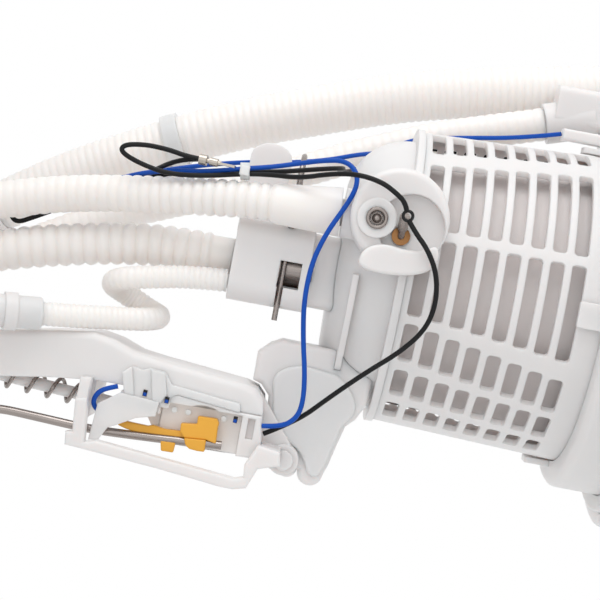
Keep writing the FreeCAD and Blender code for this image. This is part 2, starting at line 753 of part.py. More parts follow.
def brush_carrier():
    """Moulded ring that holds the brushes against the outlet cover."""
    low = COMMUTATOR_Z - 1
    high = PUMP_TOP_Z - 6
    carrier = ring(PUMP_R - PUMP_WALL, COMMUTATOR_R + 3, low, high)
    reach = COMMUTATOR_R + RUNNING + 8.0
    middle = COMMUTATOR_Z + COMMUTATOR_L / 2
    channel = block((-reach, reach), (-BRUSH_W / 2, BRUSH_W / 2), (middle - BRUSH_H / 2, middle + BRUSH_H / 2))
    return carrier.cut(channel)


def regulator_block():
    """Rounded block with the regulator's bore, the clip's window and groove, the ear and two nipples."""
    body = block((BLOCK_TOP_X, BLOCK_LOW_X), (BLOCK_REAR, BLOCK_FRONT), (BLOCK_LOW_Z, BLOCK_TOP_Z))
    body = body.makeFillet(BLOCK_ROUND, straight_edges(body, UP))
    throat = block((BLOCK_TOP_X + 1, BLOCK_LOW_X - 2), (THROAT_REAR, THROAT_FRONT),
                   (BLOCK_TOP_Z - 1, cap_low_z() + 6))
    throat = throat.makeFillet(BLOCK_ROUND / 2, straight_edges(throat, UP))
    ear = slab(ear_outline(), BLOCK_REAR, BLOCK_REAR + EAR_T)
    jet = rod(V(JET_X, -JET_AHEAD, BLOCK_LOW_Z + 1), V(JET_X, -JET_AHEAD, BLOCK_LOW_Z - JET_NIPPLE_L), JET_NIPPLE_R)
    body = body.multiFuse([throat, ear, jet])
    bores = [
        rod(V(REG_X, -REG_AHEAD, BLOCK_LOW_Z - 1), V(REG_X, -REG_AHEAD, REG_FLANGE_Z + REG_FLANGE_T),
            REG_FLANGE_R + 2 * RUNNING),
        rod(V(REG_X, -REG_AHEAD, BLOCK_LOW_Z), V(REG_X, -REG_AHEAD, REG_TOP_Z), REG_R + 2 * RUNNING),
        rod(V(REG_X, -REG_AHEAD, BLOCK_LOW_Z), V(REG_X, -REG_AHEAD, cap_low_z() + 7), NIPPLE_BORE),
        rod(V(JET_X, -JET_AHEAD, BLOCK_LOW_Z + 6), V(JET_X, -JET_AHEAD, BLOCK_LOW_Z - 20), JET_NIPPLE_R / 2),
        block((WINDOW_TOP_X, WINDOW_LOW_X), (30, BLOCK_FRONT + 1), WINDOW_Z),
        cap_outside(),
        *clip_room(),
    ]
    return body.cut(bores).removeSplitter()


def ear_outline():
    """Upright ear with a round top, seen from the front."""
    low, high = EAR_Z
    middle = (low + high) / 2
    half = (high - low) / 2
    points = [(BLOCK_TOP_X + 4, low), (BLOCK_TOP_X + 4, high)]
    for step in range(9):
        angle = math.pi * step / 8
        points.append((EAR_TOP_X + half * 0.7 * (1 - math.sin(angle)), middle + half * math.cos(angle)))
    return points


def clip_legs():
    """Distances ahead of the axis of the clip's front and rear legs."""
    return REG_AHEAD + CLIP_SPAN / 2, REG_AHEAD - CLIP_SPAN / 2


def clip_room():
    """Channels in the block for both legs of the wire clip; the front one is an open groove below the window."""
    half = CLIP_WIRE + LOOSE / 2
    span = (CLIP_Z - half, CLIP_Z + half)
    channels = [block((BLOCK_TOP_X - 1, BLOCK_LOW_X + 1), (leg - half, leg + half), span) for leg in clip_legs()]
    return [*channels, block((WINDOW_TOP_X, BLOCK_LOW_X + 1), (clip_legs()[0], BLOCK_FRONT + 1), span)]


def hairpin_clip():
    """Bent wire clip: two legs joined by a narrow loop above the block."""
    front, rear = clip_legs()
    half_bow = (front - rear) / 2
    corner = V(CLIP_TOP_X + half_bow, 0, CLIP_Z)
    bow = Part.Arc(V(corner.x, -front, CLIP_Z), V(CLIP_TOP_X, -REG_AHEAD, CLIP_Z), V(corner.x, -rear, CLIP_Z))
    path = Part.Wire([
        Part.makeLine(V(CLIP_TIP_X, -front, CLIP_Z), V(corner.x, -front, CLIP_Z)),
        bow.toShape(),
        Part.makeLine(V(corner.x, -rear, CLIP_Z), V(CLIP_TIP_X - 4, -rear, CLIP_Z)),
    ])
    profile = Part.Wire(Part.makeCircle(CLIP_WIRE, V(CLIP_TIP_X, -front, CLIP_Z), V(1, 0, 0)))
    return path.makePipeShell([profile], True, False)


def pressure_regulator():
    """Regulator can with the clipped flange and the nipple that the return hose pushes on to."""
    neck_r = REG_R - 1.0
    low = REG_FLANGE_Z
    profile = [
        (0, REG_TOP_Z - RUNNING), (neck_r, REG_TOP_Z - RUNNING), (neck_r, CLIP_Z - CLIP_WIRE - 0.2),
        (REG_FLANGE_R, CLIP_Z - CLIP_WIRE - 0.2), (REG_FLANGE_R, low), (neck_r, low), (neck_r, BLOCK_LOW_Z + 4),
        (REG_FLANGE_R, BLOCK_LOW_Z + 4), (REG_FLANGE_R, BLOCK_LOW_Z), (NIPPLE_R, BLOCK_LOW_Z),
        (NIPPLE_R, BLOCK_LOW_Z - NIPPLE_L), (0, BLOCK_LOW_Z - NIPPLE_L),
    ]
    can = turned(profile)
    can.translate(V(REG_X, -REG_AHEAD, 0))
    return can.cut([rod(V(REG_X, -REG_AHEAD, BLOCK_LOW_Z + 8), V(REG_X, -REG_AHEAD, BLOCK_LOW_Z - 20), NIPPLE_BORE)])


def regulator_seals():
    """Two O-rings round the regulator's neck."""
    neck_r = REG_R - 1.0
    rings = []
    for z in (REG_TOP_Z - 2.5, BLOCK_LOW_Z + 7.0):
        wall_r = REG_R if z > REG_FLANGE_Z else REG_FLANGE_R
        section = (wall_r - neck_r) / 2
        torus = Part.makeTorus(neck_r + section + RUNNING / 2, section - RUNNING / 2)
        torus.translate(V(REG_X, -REG_AHEAD, z))
        rings.append(torus)
    return Part.makeCompound(rings)


def arm_bracket():
    """Moulded bracket below the end cap: stepped knob on the left, two lobes at the pivot."""
    outline = [
        (28.3, -100), (28.0, -118.0), (30.0, -121.6), (33.3, -125.0), (42.6, -124.9), (43.6, -121.9),
        (46.9, -118.9), (57.0, -118.3), (66.0, -114.6), (69.6, -112.4), (69.2, -105.2), (70.4, -97.2),
        (66.1, -95.7), (59.1, -94.1), (52.4, -92.4), (49.6, -89.6), (44.6, -87.0), (36.0, -86.4), (28.3, -90.0),
    ]
    body = slab(outline, BRACKET_REAR, BRACKET_FRONT)
    body = body.makeFillet(LOBE_ROUND, [e for e in body.Edges if e.BoundBox.YMax < 0.1 - BRACKET_FRONT])
    lobes = []
    for x, z, radius in LOBES:
        lobe = rod(V(x, -BRACKET_REAR, z), V(x, -BRACKET_FRONT, z), radius)
        lobes.append(lobe.makeFillet(LOBE_ROUND, [e for e in lobe.Edges if e.BoundBox.YMax < 0.1 - BRACKET_FRONT]))
    pivot = rod(V(PIVOT_X, 0, PIVOT_Z), V(PIVOT_X, -HOUSING_FRONT, PIVOT_Z), PIVOT_R)
    return body.multiFuse(lobes).cut([cap_outside(), pivot])


def pivot_pin():
    """Headed pin that the arm swings on."""
    tip = BRACKET_FRONT + EAR_DEPTH + 1
    shank = rod(V(PIVOT_X, -BRACKET_REAR - 2, PIVOT_Z), V(PIVOT_X, -tip, PIVOT_Z), PIVOT_R - TOUCH)
    head = rod(V(PIVOT_X, -tip, PIVOT_Z), V(PIVOT_X, -tip - 1.5, PIVOT_Z), PIVOT_R * 1.6)
    return shank.fuse(head)


def along(distance, x=SPRING_X, ahead=SPRING_AHEAD, z=SPRING_Z):
    """Point on the foot's line of travel, measured from the spring's fixed seat."""
    return V(x, -ahead, z) + SLOPE * distance


def seat_outline():
    """Section of the spring's seat, square to the line of travel, from the shell's top to below the spring."""
    across = V(SLOPE.z, 0, -SLOPE.x)
    corners = []
    for distance, reach in ((0, SEAT_UP), (0, -SEAT_DOWN), (SEAT_T, -SEAT_DOWN), (SEAT_T, SEAT_UP)):
        corner = along(distance) + across * reach
        corners.append((corner.x, corner.z))
    return corners


def swing_arm():
    """Open-bottomed shell of the swinging arm, with the spring's seat and the pivot ear."""
    top = [(46.5, -237.0), (40.9, -207.2), (38.4, -193.4), (36.1, -176.8), (37.3, -170.1), (39.9, -162.8),
           (40.8, -156.1), (43.5, -126.6), (44.6, -122.8), (47.4, -120.2)]
    base = [(52.6, -119.4), (52.6, -125.0), (50.2, -151.0), (51.0, -166.6), (50.9, -173.1), (52.8, -188.7),
            (55.4, -204.5), (61.2, -234.0)]
    skin = slab(top + base, ARM_REAR, ARM_FRONT)
    skin = skin.makeFillet(2.5, [e for e in skin.Edges if e.BoundBox.XMax < 47.6 and e.BoundBox.YMax < 0.1 - ARM_FRONT
                                 and e.BoundBox.ZMin > -236.5])
    inside = [(x + ARM_WALL, z) for x, z in top]
    inside[-1] = (inside[-1][0], inside[-1][1] - ARM_WALL)
    below = [(x + 12, z) for x, z in base]
    below[0] = (below[0][0], below[0][1] - ARM_WALL)
    hollow = slab(inside + below, ARM_REAR + ARM_WALL, ARM_FRONT - ARM_WALL)
    seat = slab(seat_outline(), ARM_REAR + ARM_WALL - LOOSE, ARM_FRONT - ARM_WALL + LOOSE)
    ear = rod(V(PIVOT_X, -BRACKET_FRONT - 0.5, PIVOT_Z), V(PIVOT_X, -BRACKET_FRONT - EAR_DEPTH, PIVOT_Z), EAR_R)
    web = slab([(47.4, -120.2), (47.4, -126.0), (66.0, -126.0), (70.0, -113.5), (66.0, -107.0), (62.0, -108.0)],
               BRACKET_FRONT + 0.5, HOUSING_REAR)
    body = skin.cut(hollow).multiFuse([seat, ear, web])
    bores = [
        rod(V(PIVOT_X, 0, PIVOT_Z), V(PIVOT_X, -60, PIVOT_Z), PIVOT_R + RUNNING),
        rod(along(-40), along(40), ROD_R + RUNNING),
    ]
    return body.cut(bores).removeSplitter()


def guard_frame():
    """Slanting guard bar with its post and its strut to the pivot side."""
    outer = [(67.8, -179.0), (71.9, -178.5), (74.1, -148.9), (76.1, -129.1), (76.2, -124.6), (75.1, -120.4),
             (68.6, -117.9), (66.4, -111.2), (62.1, -112.0), (61.1, -119.0), (68.0, -122.2), (71.9, -121.9),
             (72.8, -124.6), (68.9, -168.9), (70.0, -172.6), (56.3, -174.1), (57.0, -177.8), (67.3, -176.9)]
    bar = slab(outer, GUARD_REAR, GUARD_FRONT)
    bar = bar.makeFillet(0.8, [e for e in bar.Edges if e.BoundBox.YMax < 0.1 - GUARD_FRONT])
    post_foot = slab([(50.0, -174.1), (50.4, -177.4), (58.5, -177.6), (58.5, -174.3)], ARM_FRONT, GUARD_FRONT - 1)
    strut_foot = slab([(61.3, -118.1), (62.1, -112.0), (66.4, -111.2), (67.0, -117.9)],
                      BRACKET_FRONT + EAR_DEPTH, GUARD_REAR + 1)
    return bar.multiFuse([post_foot, strut_foot]).cut(pin_room())


def pin_room():
    """Room for the head of the pivot pin."""
    return rod(V(PIVOT_X, -20, PIVOT_Z), V(PIVOT_X, -BRACKET_FRONT - EAR_DEPTH - 3, PIVOT_Z), PIVOT_R * 1.6 + LOOSE)


def sender_housing():
    """Tray of the level sender, open to the front and below, with its wire slots."""
    body = slab([(52.7, -164.8), (50.4, -151.0), (52.7, -127.0), (52.7, -119.5), (61.0, -118.4), (66.3, -118.2),
                 (67.0, -144.0), (65.0, -152.0), (57.6, -157.0), (57.6, -165.7)], HOUSING_REAR, HOUSING_FRONT)
    body = body.makeFillet(0.7, [e for e in body.Edges if e.BoundBox.YMax < 0.1 - HOUSING_FRONT])
    sweep = rod(V(SWING_X, -CARD_FRONT, SWING_Z), V(SWING_X, -60, SWING_Z), SWEEP_ROOM_R)
    window = block((54.0, 75.0), (CARD_FRONT, 60.0), (-151.5, -127.6))
    low_side = block((57.7, 75.0), (CARD_FRONT, 60.0), (-170.0, -127.6))
    card_bed = block((53.6, 66.6), (CARD_FRONT - CARD_T, 60.0), (-151.5, -125.6))
    arm_way = block((60.5, 75.0), (CARD_FRONT, 60.0), (-170.0, SWING_Z + 9.5))
    slots = [block((51.0, 54.4), (44.0, 60.0), (z - 0.7, z + 0.7)) for z in (-156.9, -153.0)]
    end_slot = block((54.0, 60.5), (45.0, 60.0), (-123.6, -121.4))
    shaft_hole = rod(V(SWING_X, -30, SWING_Z), V(SWING_X, -60, SWING_Z), SWING_R + RUNNING)
    return body.cut([sweep, window, low_side, card_bed, arm_way, *slots, end_slot, shaft_hole, shell_room()])


def shell_room():
    """Space that the arm's shell takes up along the housing's upper edge."""
    return block((40.0, 52.65), (HOUSING_REAR - 1, ARM_FRONT), (-170.0, -119.0))


def sender_cover():
    """Hooked cover tab over the float wire, at the housing's left end."""
    outline = [(69.6, -172.1), (69.1, -169.0), (64.8, -166.8), (63.6, -164.4), (60.2, -158.5), (58.6, -152.6),
               (54.0, -152.2), (53.2, -164.8), (57.9, -171.2)]
    tab = slab(outline, HOUSING_FRONT + 2 * LOOSE, GUARD_REAR - LOOSE)
    foot = slab([(53.2, -164.4), (53.6, -158.5), (57.0, -158.5), (57.0, -164.4)], HOUSING_FRONT, HOUSING_FRONT + 1)
    return tab.fuse(foot)


def resistor_card():
    """Ceramic card with the sender's tracks."""
    card = block((53.7, 66.4), (CARD_FRONT - CARD_T, CARD_FRONT), (-151.4, -125.7))
    return card.cut(rod(V(SWING_X, -30, SWING_Z), V(SWING_X, -60, SWING_Z), SWING_R + 3 * RUNNING))


def card_rivets():
    """Three contact rivets along the card's upper edge."""
    heads = []
    for z in (-147.5, -143.0, -131.5):
        heads.append(rod(V(56.0, -CARD_FRONT, z), V(56.0, -CARD_FRONT - 0.6, z), 0.9))
    return Part.makeCompound(heads)


def float_holder():
    """Yellow clip that turns on the card and grips the float wire."""
    outline = [
        (61.8, -164.6), (60.4, -154.5), (58.9, -152.8), (58.4, -144.1), (55.6, -140.2), (56.4, -134.4),
        (58.7, -132.4), (62.5, -132.4), (66.8, -134.6), (67.6, -144.5), (69.0, -145.1), (69.3, -149.4),
        (67.4, -149.9), (65.5, -155.0), (63.6, -164.6),
    ]
    body = slab(outline, HOLDER_REAR, HOLDER_FRONT)
    body = body.makeFillet(0.5, [e for e in body.Edges if e.BoundBox.YMax < 0.1 - HOLDER_FRONT])
    shaft = rod(V(SWING_X, -HOUSING_REAR - 0.5, SWING_Z), V(SWING_X, -HOLDER_REAR - 1, SWING_Z), SWING_R)
    return body.fuse(shaft).cut(float_wire_solid(FLOAT_WIRE + TOUCH))


def float_route():
    """Bends of the float wire, from the holder to the float."""
    return [
        V(64.2, -FLOAT_WIRE_AHEAD, -130.6), V(65.6, -FLOAT_WIRE_AHEAD, -150.0), V(66.7, -FLOAT_WIRE_AHEAD, -172.0),
        V(65.9, -FLOAT_WIRE_AHEAD, -189.0), V(65.2, -FLOAT_WIRE_AHEAD - 1, -203.0),
        V(69.0, -FLOAT_WIRE_AHEAD - 7, -222.0), V(78.0, -FLOAT_WIRE_AHEAD - 17, -238.0),
        V(83.0, -FLOAT_WIRE_AHEAD - 20, -250.0), V(83.0, -FLOAT_WIRE_AHEAD - 20, -292.0),
    ]


def float_wire_solid(radius):
    return tube_along("float wire", float_route(), radius, say=False)


def float_arm():
    """Bent steel wire that carries the float."""
    return float_wire_solid(FLOAT_WIRE)


def float_body():
    """Closed-cell float block on the wire's end."""
    end = float_route()[-1]
    body = block((end.x - FLOAT_T / 2, end.x + FLOAT_T / 2), (-end.y - FLOAT_W / 2, -end.y + FLOAT_W / 2),
                 (end.z - 2, end.z - 2 + FLOAT_L))
    body = body.makeFillet(FLOAT_ROUND, body.Edges)
    return body.cut(float_wire_solid(FLOAT_WIRE))


def spring_foot():
    """Guide rod with its collar and the foot that stands on the tank floor."""
    shaft = rod(along(-ROD_TAIL), along(SPRING_L + 2), ROD_R)
    collar = rod(along(SPRING_L), along(SPRING_L + 2), SPRING_R + 2 * SPRING_WIRE)
    leg = rod(along(SPRING_L + 1), along(SPRING_L + FOOT_REACH), ROD_R * 1.5)
    pad = Part.makeBox(FOOT_L, FOOT_W, FOOT_T, V(-FOOT_L / 2, -FOOT_W / 2, 0))
    pad = pad.makeFillet(FOOT_W / 4, straight_edges(pad, UP))
    pad = pad.makeFillet(FOOT_T / 4, [e for e in pad.Edges if e.BoundBox.ZMin > FOOT_T - TOUCH])
    pad = carried(pad, along(SPRING_L + FOOT_REACH - 1), SLOPE)
    return shaft.multiFuse([collar, leg, pad]).removeSplitter()


def foot_spring():
    """Helical spring between the arm's seat and the foot's collar."""
    length = SPRING_L - SEAT_T - 2 * SPRING_WIRE
    helix = Part.makeHelix(length / SPRING_TURNS, length, SPRING_R)
    start = V(SPRING_R, 0, 0)
    profile = Part.Wire(Part.makeCircle(SPRING_WIRE, start, V(0, 1, length / SPRING_TURNS / (2 * math.pi * SPRING_R))))
    coil = Part.Wire(helix).makePipeShell([profile], True, True).mirror(V(), V(1, 0, 0))
    return carried(coil, along(SEAT_T + SPRING_WIRE), SLOPE)


def rounded_path(points):
    """Straight runs joined by tangent arcs, each as large as its two runs allow; the edges and the radii."""
    edges, radii = [], []
    cursor = points[0]
    for before, corner, after in zip(points, points[1:], points[2:]):
        into = (corner - before).normalize()
        out = (after - corner).normalize()
        shorter = min((corner - before).Length, (after - corner).Length)
        turn = math.acos(max(-1.0, min(1.0, into.dot(out))))
        reach = 0.45 * shorter
        radius = reach / math.tan(turn / 2)
        start = corner - into * reach
        end = corner + out * reach
        bisector = (out - into).normalize()
        centre = corner + bisector * math.hypot(radius, reach)
        middle = centre - bisector * radius
        edges.append(Part.makeLine(cursor, start))
        edges.append(Part.Arc(start, middle, end).toShape())
        radii.append(radius)
        cursor = end
    edges.append(Part.makeLine(cursor, points[-1]))
    return edges, radii


def tube_along(name, points, radius, say=True):
    """Round tube along a route; says its length, its tightest bend and how true its volume is."""
    edges, radii = rounded_path(points)
    path = Part.Wire(edges)
    profile = Part.Wire(Part.makeCircle(radius, points[0], points[1] - points[0]))
    solid = path.makePipeShell([profile], True, False)
    if say:
        ratio = solid.Volume / (math.pi * radius ** 2 * path.Length)
        print(f"{name}: length {path.Length:.0f}, tightest {min(radii):.1f} = {min(radii) / radius / 2:.1f} d,"
              f" volume ratio {ratio:.4f}")
    return solid


def cuffed(hose, start, direction, hose_r):
    """Add a smooth tapered cuff to a hose's end and open both for the nipple inside."""
    cuff = Part.makeCone(hose_r + CUFF_WALL, hose_r + LOOSE, CUFF_L, start, direction)
    nipple = rod(start - direction, start + direction * (NIPPLE_L + LOOSE), NIPPLE_R + TOUCH)
    return hose.fuse(cuff).cut(nipple)


def outlet_route():
    """Outlet hose: from the end cap's port down, round a loop, and up behind the cage to the neck coupling."""
    return [
        V(PORT_X, -PORT_FRONT, cap_low_z() - 1.3), V(-15.0, -42.0, -117.0), V(-14.6, -42.0, -128.0),
        V(-14.0, -41.0, -139.2), V(-12.1, -38.0, -155.4), V(-10.0, -35.0, -171.5), V(-7.5, -32.0, -187.9),
        V(-3.9, -30.0, -204.1), V(4.0, -30.0, -229.2), V(16.3, -14.7, -251.0), V(25.5, 9.9, -257.1),
        V(26.5, 34.3, -248.7), V(18.8, 50.1, -229.8), V(5.6, 51.0, -207.6), V(-3.9, 47.5, -189.9),
        V(-11.3, 43.5, -172.1), V(-19.6, 40.0, -150.8), V(-28.7, 38.5, -130.0), V(-39.0, 37.0, -109.4),
        V(-48.0, 35.5, -88.7), V(-54.9, 34.5, -71.4), V(-60.3, 33.6, -53.8), coupling_low(),
    ]


def coupling_line():
    """Direction in which the outlet hose enters the neck coupling."""
    return (outlet_route()[-1] - outlet_route()[-2]).normalize()


def coupling_low():
    """Lower mouth of the neck coupling, where the outlet hose enters."""
    return V(-65.2, 33.1, -38.4)


def outlet_hose():
    route = outlet_route()
    hose = tube_along("outlet hose", route, OUTLET_HOSE_R)
    return cuffed(hose, route[0], (route[1] - route[0]).normalize(), OUTLET_HOSE_R)


def neck_coupling():
    """White moulded coupling that joins the outlet hose to the neck's side nipple."""
    low = coupling_low()
    line = coupling_line()
    seat = coupling_seat()
    side = outward(seat)
    body = block((-79.5, -65.5), (-38.0, -25.5), (-36.0, -8.0))
    body = body.makeFillet(2.5, straight_edges(body, UP))
    collar = rod(low, low + line * 18, COUPLING_R + 0.4)
    arm = rod(seat - side, seat + side * (NIPPLE_L + 3), COUPLING_R - 0.5)
    joined = body.multiFuse([collar, arm])
    inner = seat + side * NIPPLE_L
    return joined.cut([
        rod(seat, inner + side * LOOSE, NIPPLE_R + TOUCH),
        rod(inner - side * NIPPLE_R, low - line, NIPPLE_BORE),
        Part.makeCylinder(NECK_R + LOOSE, NECK_H + SEAL_T, V(0, 0, -NECK_H - SEAL_T)),
    ]).removeSplitter()


def return_route():
    """Return hose: from the regulator's nipple down and round a wide loop to the transfer coupling."""
    return [
        V(REG_X, -REG_AHEAD, BLOCK_LOW_Z - LOOSE), V(REG_X, -REG_AHEAD, -152.0), V(5.0, -24.0, -164.3),
        V(6.8, -24.0, -176.4), V(9.4, -24.5, -189.2), V(12.4, -25.0, -201.9), V(17.0, -25.5, -217.5),
        V(22.3, -25.5, -233.9), V(31.0, -25.5, -262.7), V(41.9, -7.9, -284.3), V(54.1, 20.5, -293.0),
        V(46.5, 51.5, -286.0), V(24.2, 67.0, -268.0), transfer_low(),
    ]


def transfer_low():
    """Lower end of the transfer coupling, in line with the transfer hose's start."""
    return transfer_route()[0] - first_direction(transfer_route()) * TRANSFER_COUPLING_L


def return_hose():
    route = return_route()
    hose = tube_along("return hose", route, RETURN_R)
    return hose.cut(rod(route[0] + UP, route[0] - UP * NIPPLE_L, NIPPLE_R + TOUCH))


def transfer_route():
    """Transfer hose: the wide arc above everything else, from its lower coupling to its end beside the neck."""
    return [
        V(0.2, 61.4, -233.8), V(-11.9, 58.6, -216.6), V(-22.1, 56.5, -198.9), V(-31.4, 54.7, -180.8),
        V(-40.4, 53.0, -162.6), V(-49.6, 51.5, -141.2), V(-58.7, 50.5, -116.2), V(-66.9, 50.0, -92.7),
        V(-72.3, 49.5, -72.0), V(-76.1, 49.0, -54.8), V(-79.6, 48.5, -37.3), V(-83.5, 48.0, -17.3),
    ]


def transfer_hose():
    return tube_along("transfer hose", transfer_route(), TRANSFER_R)


def transfer_coupling():
    """Stepped coupling between the transfer hose and the return hose."""
    start = transfer_route()[0]
    line = first_direction(transfer_route())
    body = rod(transfer_low() + line * TOUCH * 3, start, RETURN_R + 1.2)
    collar = rod(start - line * 7, start, TRANSFER_R + 1.2)
    collar = collar.makeFillet(1, [e for e in collar.Edges if isinstance(e.Curve, Part.Circle)])
    return body.fuse(collar)


def transfer_connector():
    """Plug-in connector on the free end of the transfer hose, with its bore."""
    start = transfer_route()[-1]
    line = (start - transfer_route()[-2]).normalize()
    body = rod(start, start + line * CONNECTOR_L, TRANSFER_R)
    collar = rod(start + line * 4, start + line * 10, TRANSFER_R + 1.2)
    joined = body.fuse(collar)
    joined = joined.makeFillet(0.8, [e for e in joined.Edges if isinstance(e.Curve, Part.Circle)
                                     and abs(e.Curve.Radius - TRANSFER_R - 1.2) < TOUCH])
    return joined.cut(rod(start + line * 3, start + line * (CONNECTOR_L + 1), SPIGOT_R + RUNNING))


def jet_route():
    """Jet hose: a folded S of two tight bends between the block's small nipple and its connector."""
    return [
        V(JET_X, -JET_AHEAD, BLOCK_LOW_Z - 0.7), V(13.2, -34.6, -149.5), V(15.2, -36.0, -160.5),
        V(17.6, -36.5, -171.9), V(20.1, -28.7, -176.7), V(22.6, -20.9, -171.9), V(27.0, -21.0, -162.5),
        V(28.2, -29.2, -157.7), V(29.6, -37.4, -162.5), V(31.0, -40.6, -173.0), V(32.4, -44.7, -183.7),
        V(33.9, -49.6, -199.4),
    ]


def jet_hose():
    route = jet_route()
    hose = tube_along("jet hose", route, JET_HOSE_R)
    return hose.cut(rod(route[0] + UP, route[0] - UP * (JET_NIPPLE_L + LOOSE), JET_NIPPLE_R + TOUCH))


def jet_connector():
    """Quick connector at the jet hose's end, with its tab and slot."""
    end = jet_route()[-1]
    line = (end - jet_route()[-2]).normalize()
    start = end - line * JET_SOCKET
    body = rod(start, start + line * 34, 5.2)
    body = body.makeFillet(1.0, [e for e in body.Edges if isinstance(e.Curve, Part.Circle)])
    collar = rod(start + line * 8, start + line * 12, 6.0)
    tab = block((0, 7.6), (-1.6, 1.6), (0, 5.0))
    tab = carried(tab, start + line * 14, line)
    slot = carried(block((-9, -4.4), (-2, 2), (0, 2.4)), start + line * 15, line)
    bores = [rod(start - line, end, JET_HOSE_R + TOUCH), rod(end + line * 4, end + line * 40, 3.2), slot]
    return body.multiFuse([collar, tab]).cut(bores)


def band_round(point, line, inside_r, width, wall):
    """Flat band round a hose or a bundle."""
    middle = point - line * width / 2
    return carried(ring(inside_r + wall, inside_r, 0, width), middle, line)


def hose_strap():
    """Strap round the transfer hose with its buckle."""
    route = transfer_route()
    line = (route[4] - route[3]).normalize()
    point = route[3] + line * (route[4] - route[3]).Length / 2
    band = band_round(point, line, TRANSFER_R + TOUCH, 6.0, 1.3)
    buckle = block((-2.2, 2.2), (-3.5, 3.5), (-3.5, 3.5))
    buckle.translate(V(point.x + TRANSFER_R + 2.4, point.y, point.z))
    return band.fuse(buckle).cut(rod(point - line * 20, point + line * 20, TRANSFER_R + TOUCH))


def tie_place():
    return V(-22.9, -41.3, -139.2)


def cable_tie():
    """Small tie round the bundled leads."""
    band = band_round(tie_place(), V(-0.17, 0, 1).normalize(), 2.3, 3.0, 0.5)
    head = block((-1.5, 1.5), (2.7, 4.2), (-1.5, 1.5))
    head.translate(tie_place())
    return band.fuse(head)


def blue_route():
    """Blue lead: sender, up over the block, through the tie, out to a slack loop, back and up to the neck."""
    return [
        V(55.6, -46.2, -119.1), V(54.8, -47.0, -113.1), V(51.0, -48.5, -108.7), V(45.7, -49.0, -107.7),
        V(37.2, -50.0, -108.7), V(25.8, -51.0, -111.4), V(14.1, -52.0, -113.3), V(2.0, -52.5, -113.0),
        V(-8.1, -52.5, -110.1), V(-17.6, -52.0, -105.5), V(-23.8, -50.5, -103.4), V(-28.5, -49.0, -104.2),
        V(-31.5, -47.0, -108.2), V(-30.7, -45.0, -114.5), V(-28.3, -42.5, -123.0), V(-25.8, -41.8, -130.9),
        V(-23.75, -41.9, -139.2), V(-20.4, -41.9, -151.7), V(-18.9, -38.5, -163.7), V(-16.6, -27.5, -175.0),
        V(-10.6, -20.8, -188.1), V(-4.2, -19.5, -200.9), V(-0.7, -19.5, -210.7), V(1.4, -17.0, -217.0),
        V(2.6, -9.0, -219.5), V(1.2, -4.5, -211.1), V(-4.9, -6.0, -199.5), V(-10.6, -11.0, -186.2),
        V(-17.3, -20.0, -173.8), V(-21.6, -25.0, -160.2), V(-25.4, -17.0, -150.0), V(-28.8, -7.0, -139.8),
        V(-31.3, -4.0, -126.4), V(-34.7, -2.0, -113.8), V(-39.2, 5.0, -103.8), V(-42.7, 18.6, -95.0),
        V(-49.9, 19.4, -85.0), V(-52.6, 13.5, -68.0), V(-55.2, 6.0, -49.4), V(-58.0, -3.0, -36.9),
    ]


def sleeve_low():
    """Lower end of the white sleeve that the blue lead enters."""
    return blue_route()[-1] + UP * 0.5


def lead_sleeve():
    """White sleeve on the neck's shoulder that takes the blue lead's end."""
    low = sleeve_low()
    body = block((low.x - 1.9, low.x + 1.9), (-low.y - 2.6, -low.y + 2.6), (low.z, -NECK_H))
    return body.makeFillet(0.8, straight_edges(body, UP))


def earth_route():
    """Black lead from the earth stud to the sender: a wide slack arc over the cage."""
    return [
        V(-15.8, -60.9, -86.1), V(-12.4, -61.2, -83.4), V(-7.9, -62.5, -78.8), V(-0.8, -63.0, -74.7),
        V(8.2, -62.0, -73.3), V(16.4, -60.0, -75.0), V(24.5, -57.0, -81.1), V(33.0, -54.0, -90.5),
        V(42.5, -50.0, -99.7), V(52.2, -45.0, -108.4), V(58.2, -43.6, -118.2),
    ]


def tank_route():
    """Black lead from the stud over the boss, through the tie, round its end loop and back to the terminal."""
    return [
        V(-18.4, -60.6, -87.2), V(-20.8, -61.0, -88.0), V(-23.2, -61.2, -91.2), V(-25.9, -61.0, -96.4),
        V(-27.1, -59.0, -104.3), V(-26.0, -54.0, -112.5), V(-23.5, -47.5, -121.5), V(-23.2, -43.4, -130.9),
        V(-22.05, -42.1, -139.2), V(-18.9, -43.9, -151.4), V(-17.5, -42.3, -163.2), V(-19.2, -42.0, -172.6),
        V(-21.7, -42.1, -179.3), V(-24.2, -42.2, -178.8), V(-25.5, -42.3, -171.8), V(-25.1, -43.2, -163.9),
        V(-24.1, -43.4, -158.5), terminal_low() + V(0, -0.85, -0.4),
    ]


def terminal_low():
    """Crimped end of the terminal, where two black leads enter side by side."""
    return V(-24.0, -42.6, -154.0)


def crimp_terminal():
    """Crimped metal terminal on the black leads' ends: two crimp collars and a folded blade."""
    low = terminal_low()
    tip = V(-23.4, -44.6, -142.2)
    line = (tip - low).normalize()
    first = rod(low, low + line * 2.4, 1.75)
    second = rod(low + line * 3.4, low + line * 6.0, 1.3)
    neck = rod(low + line, low + line * 7, 0.8)
    blade = block((-0.4, 0.4), (-1.0, 1.0), (0, 5.0))
    return neck.multiFuse([first, second, carried(blade, low + line * 6.8, line)])


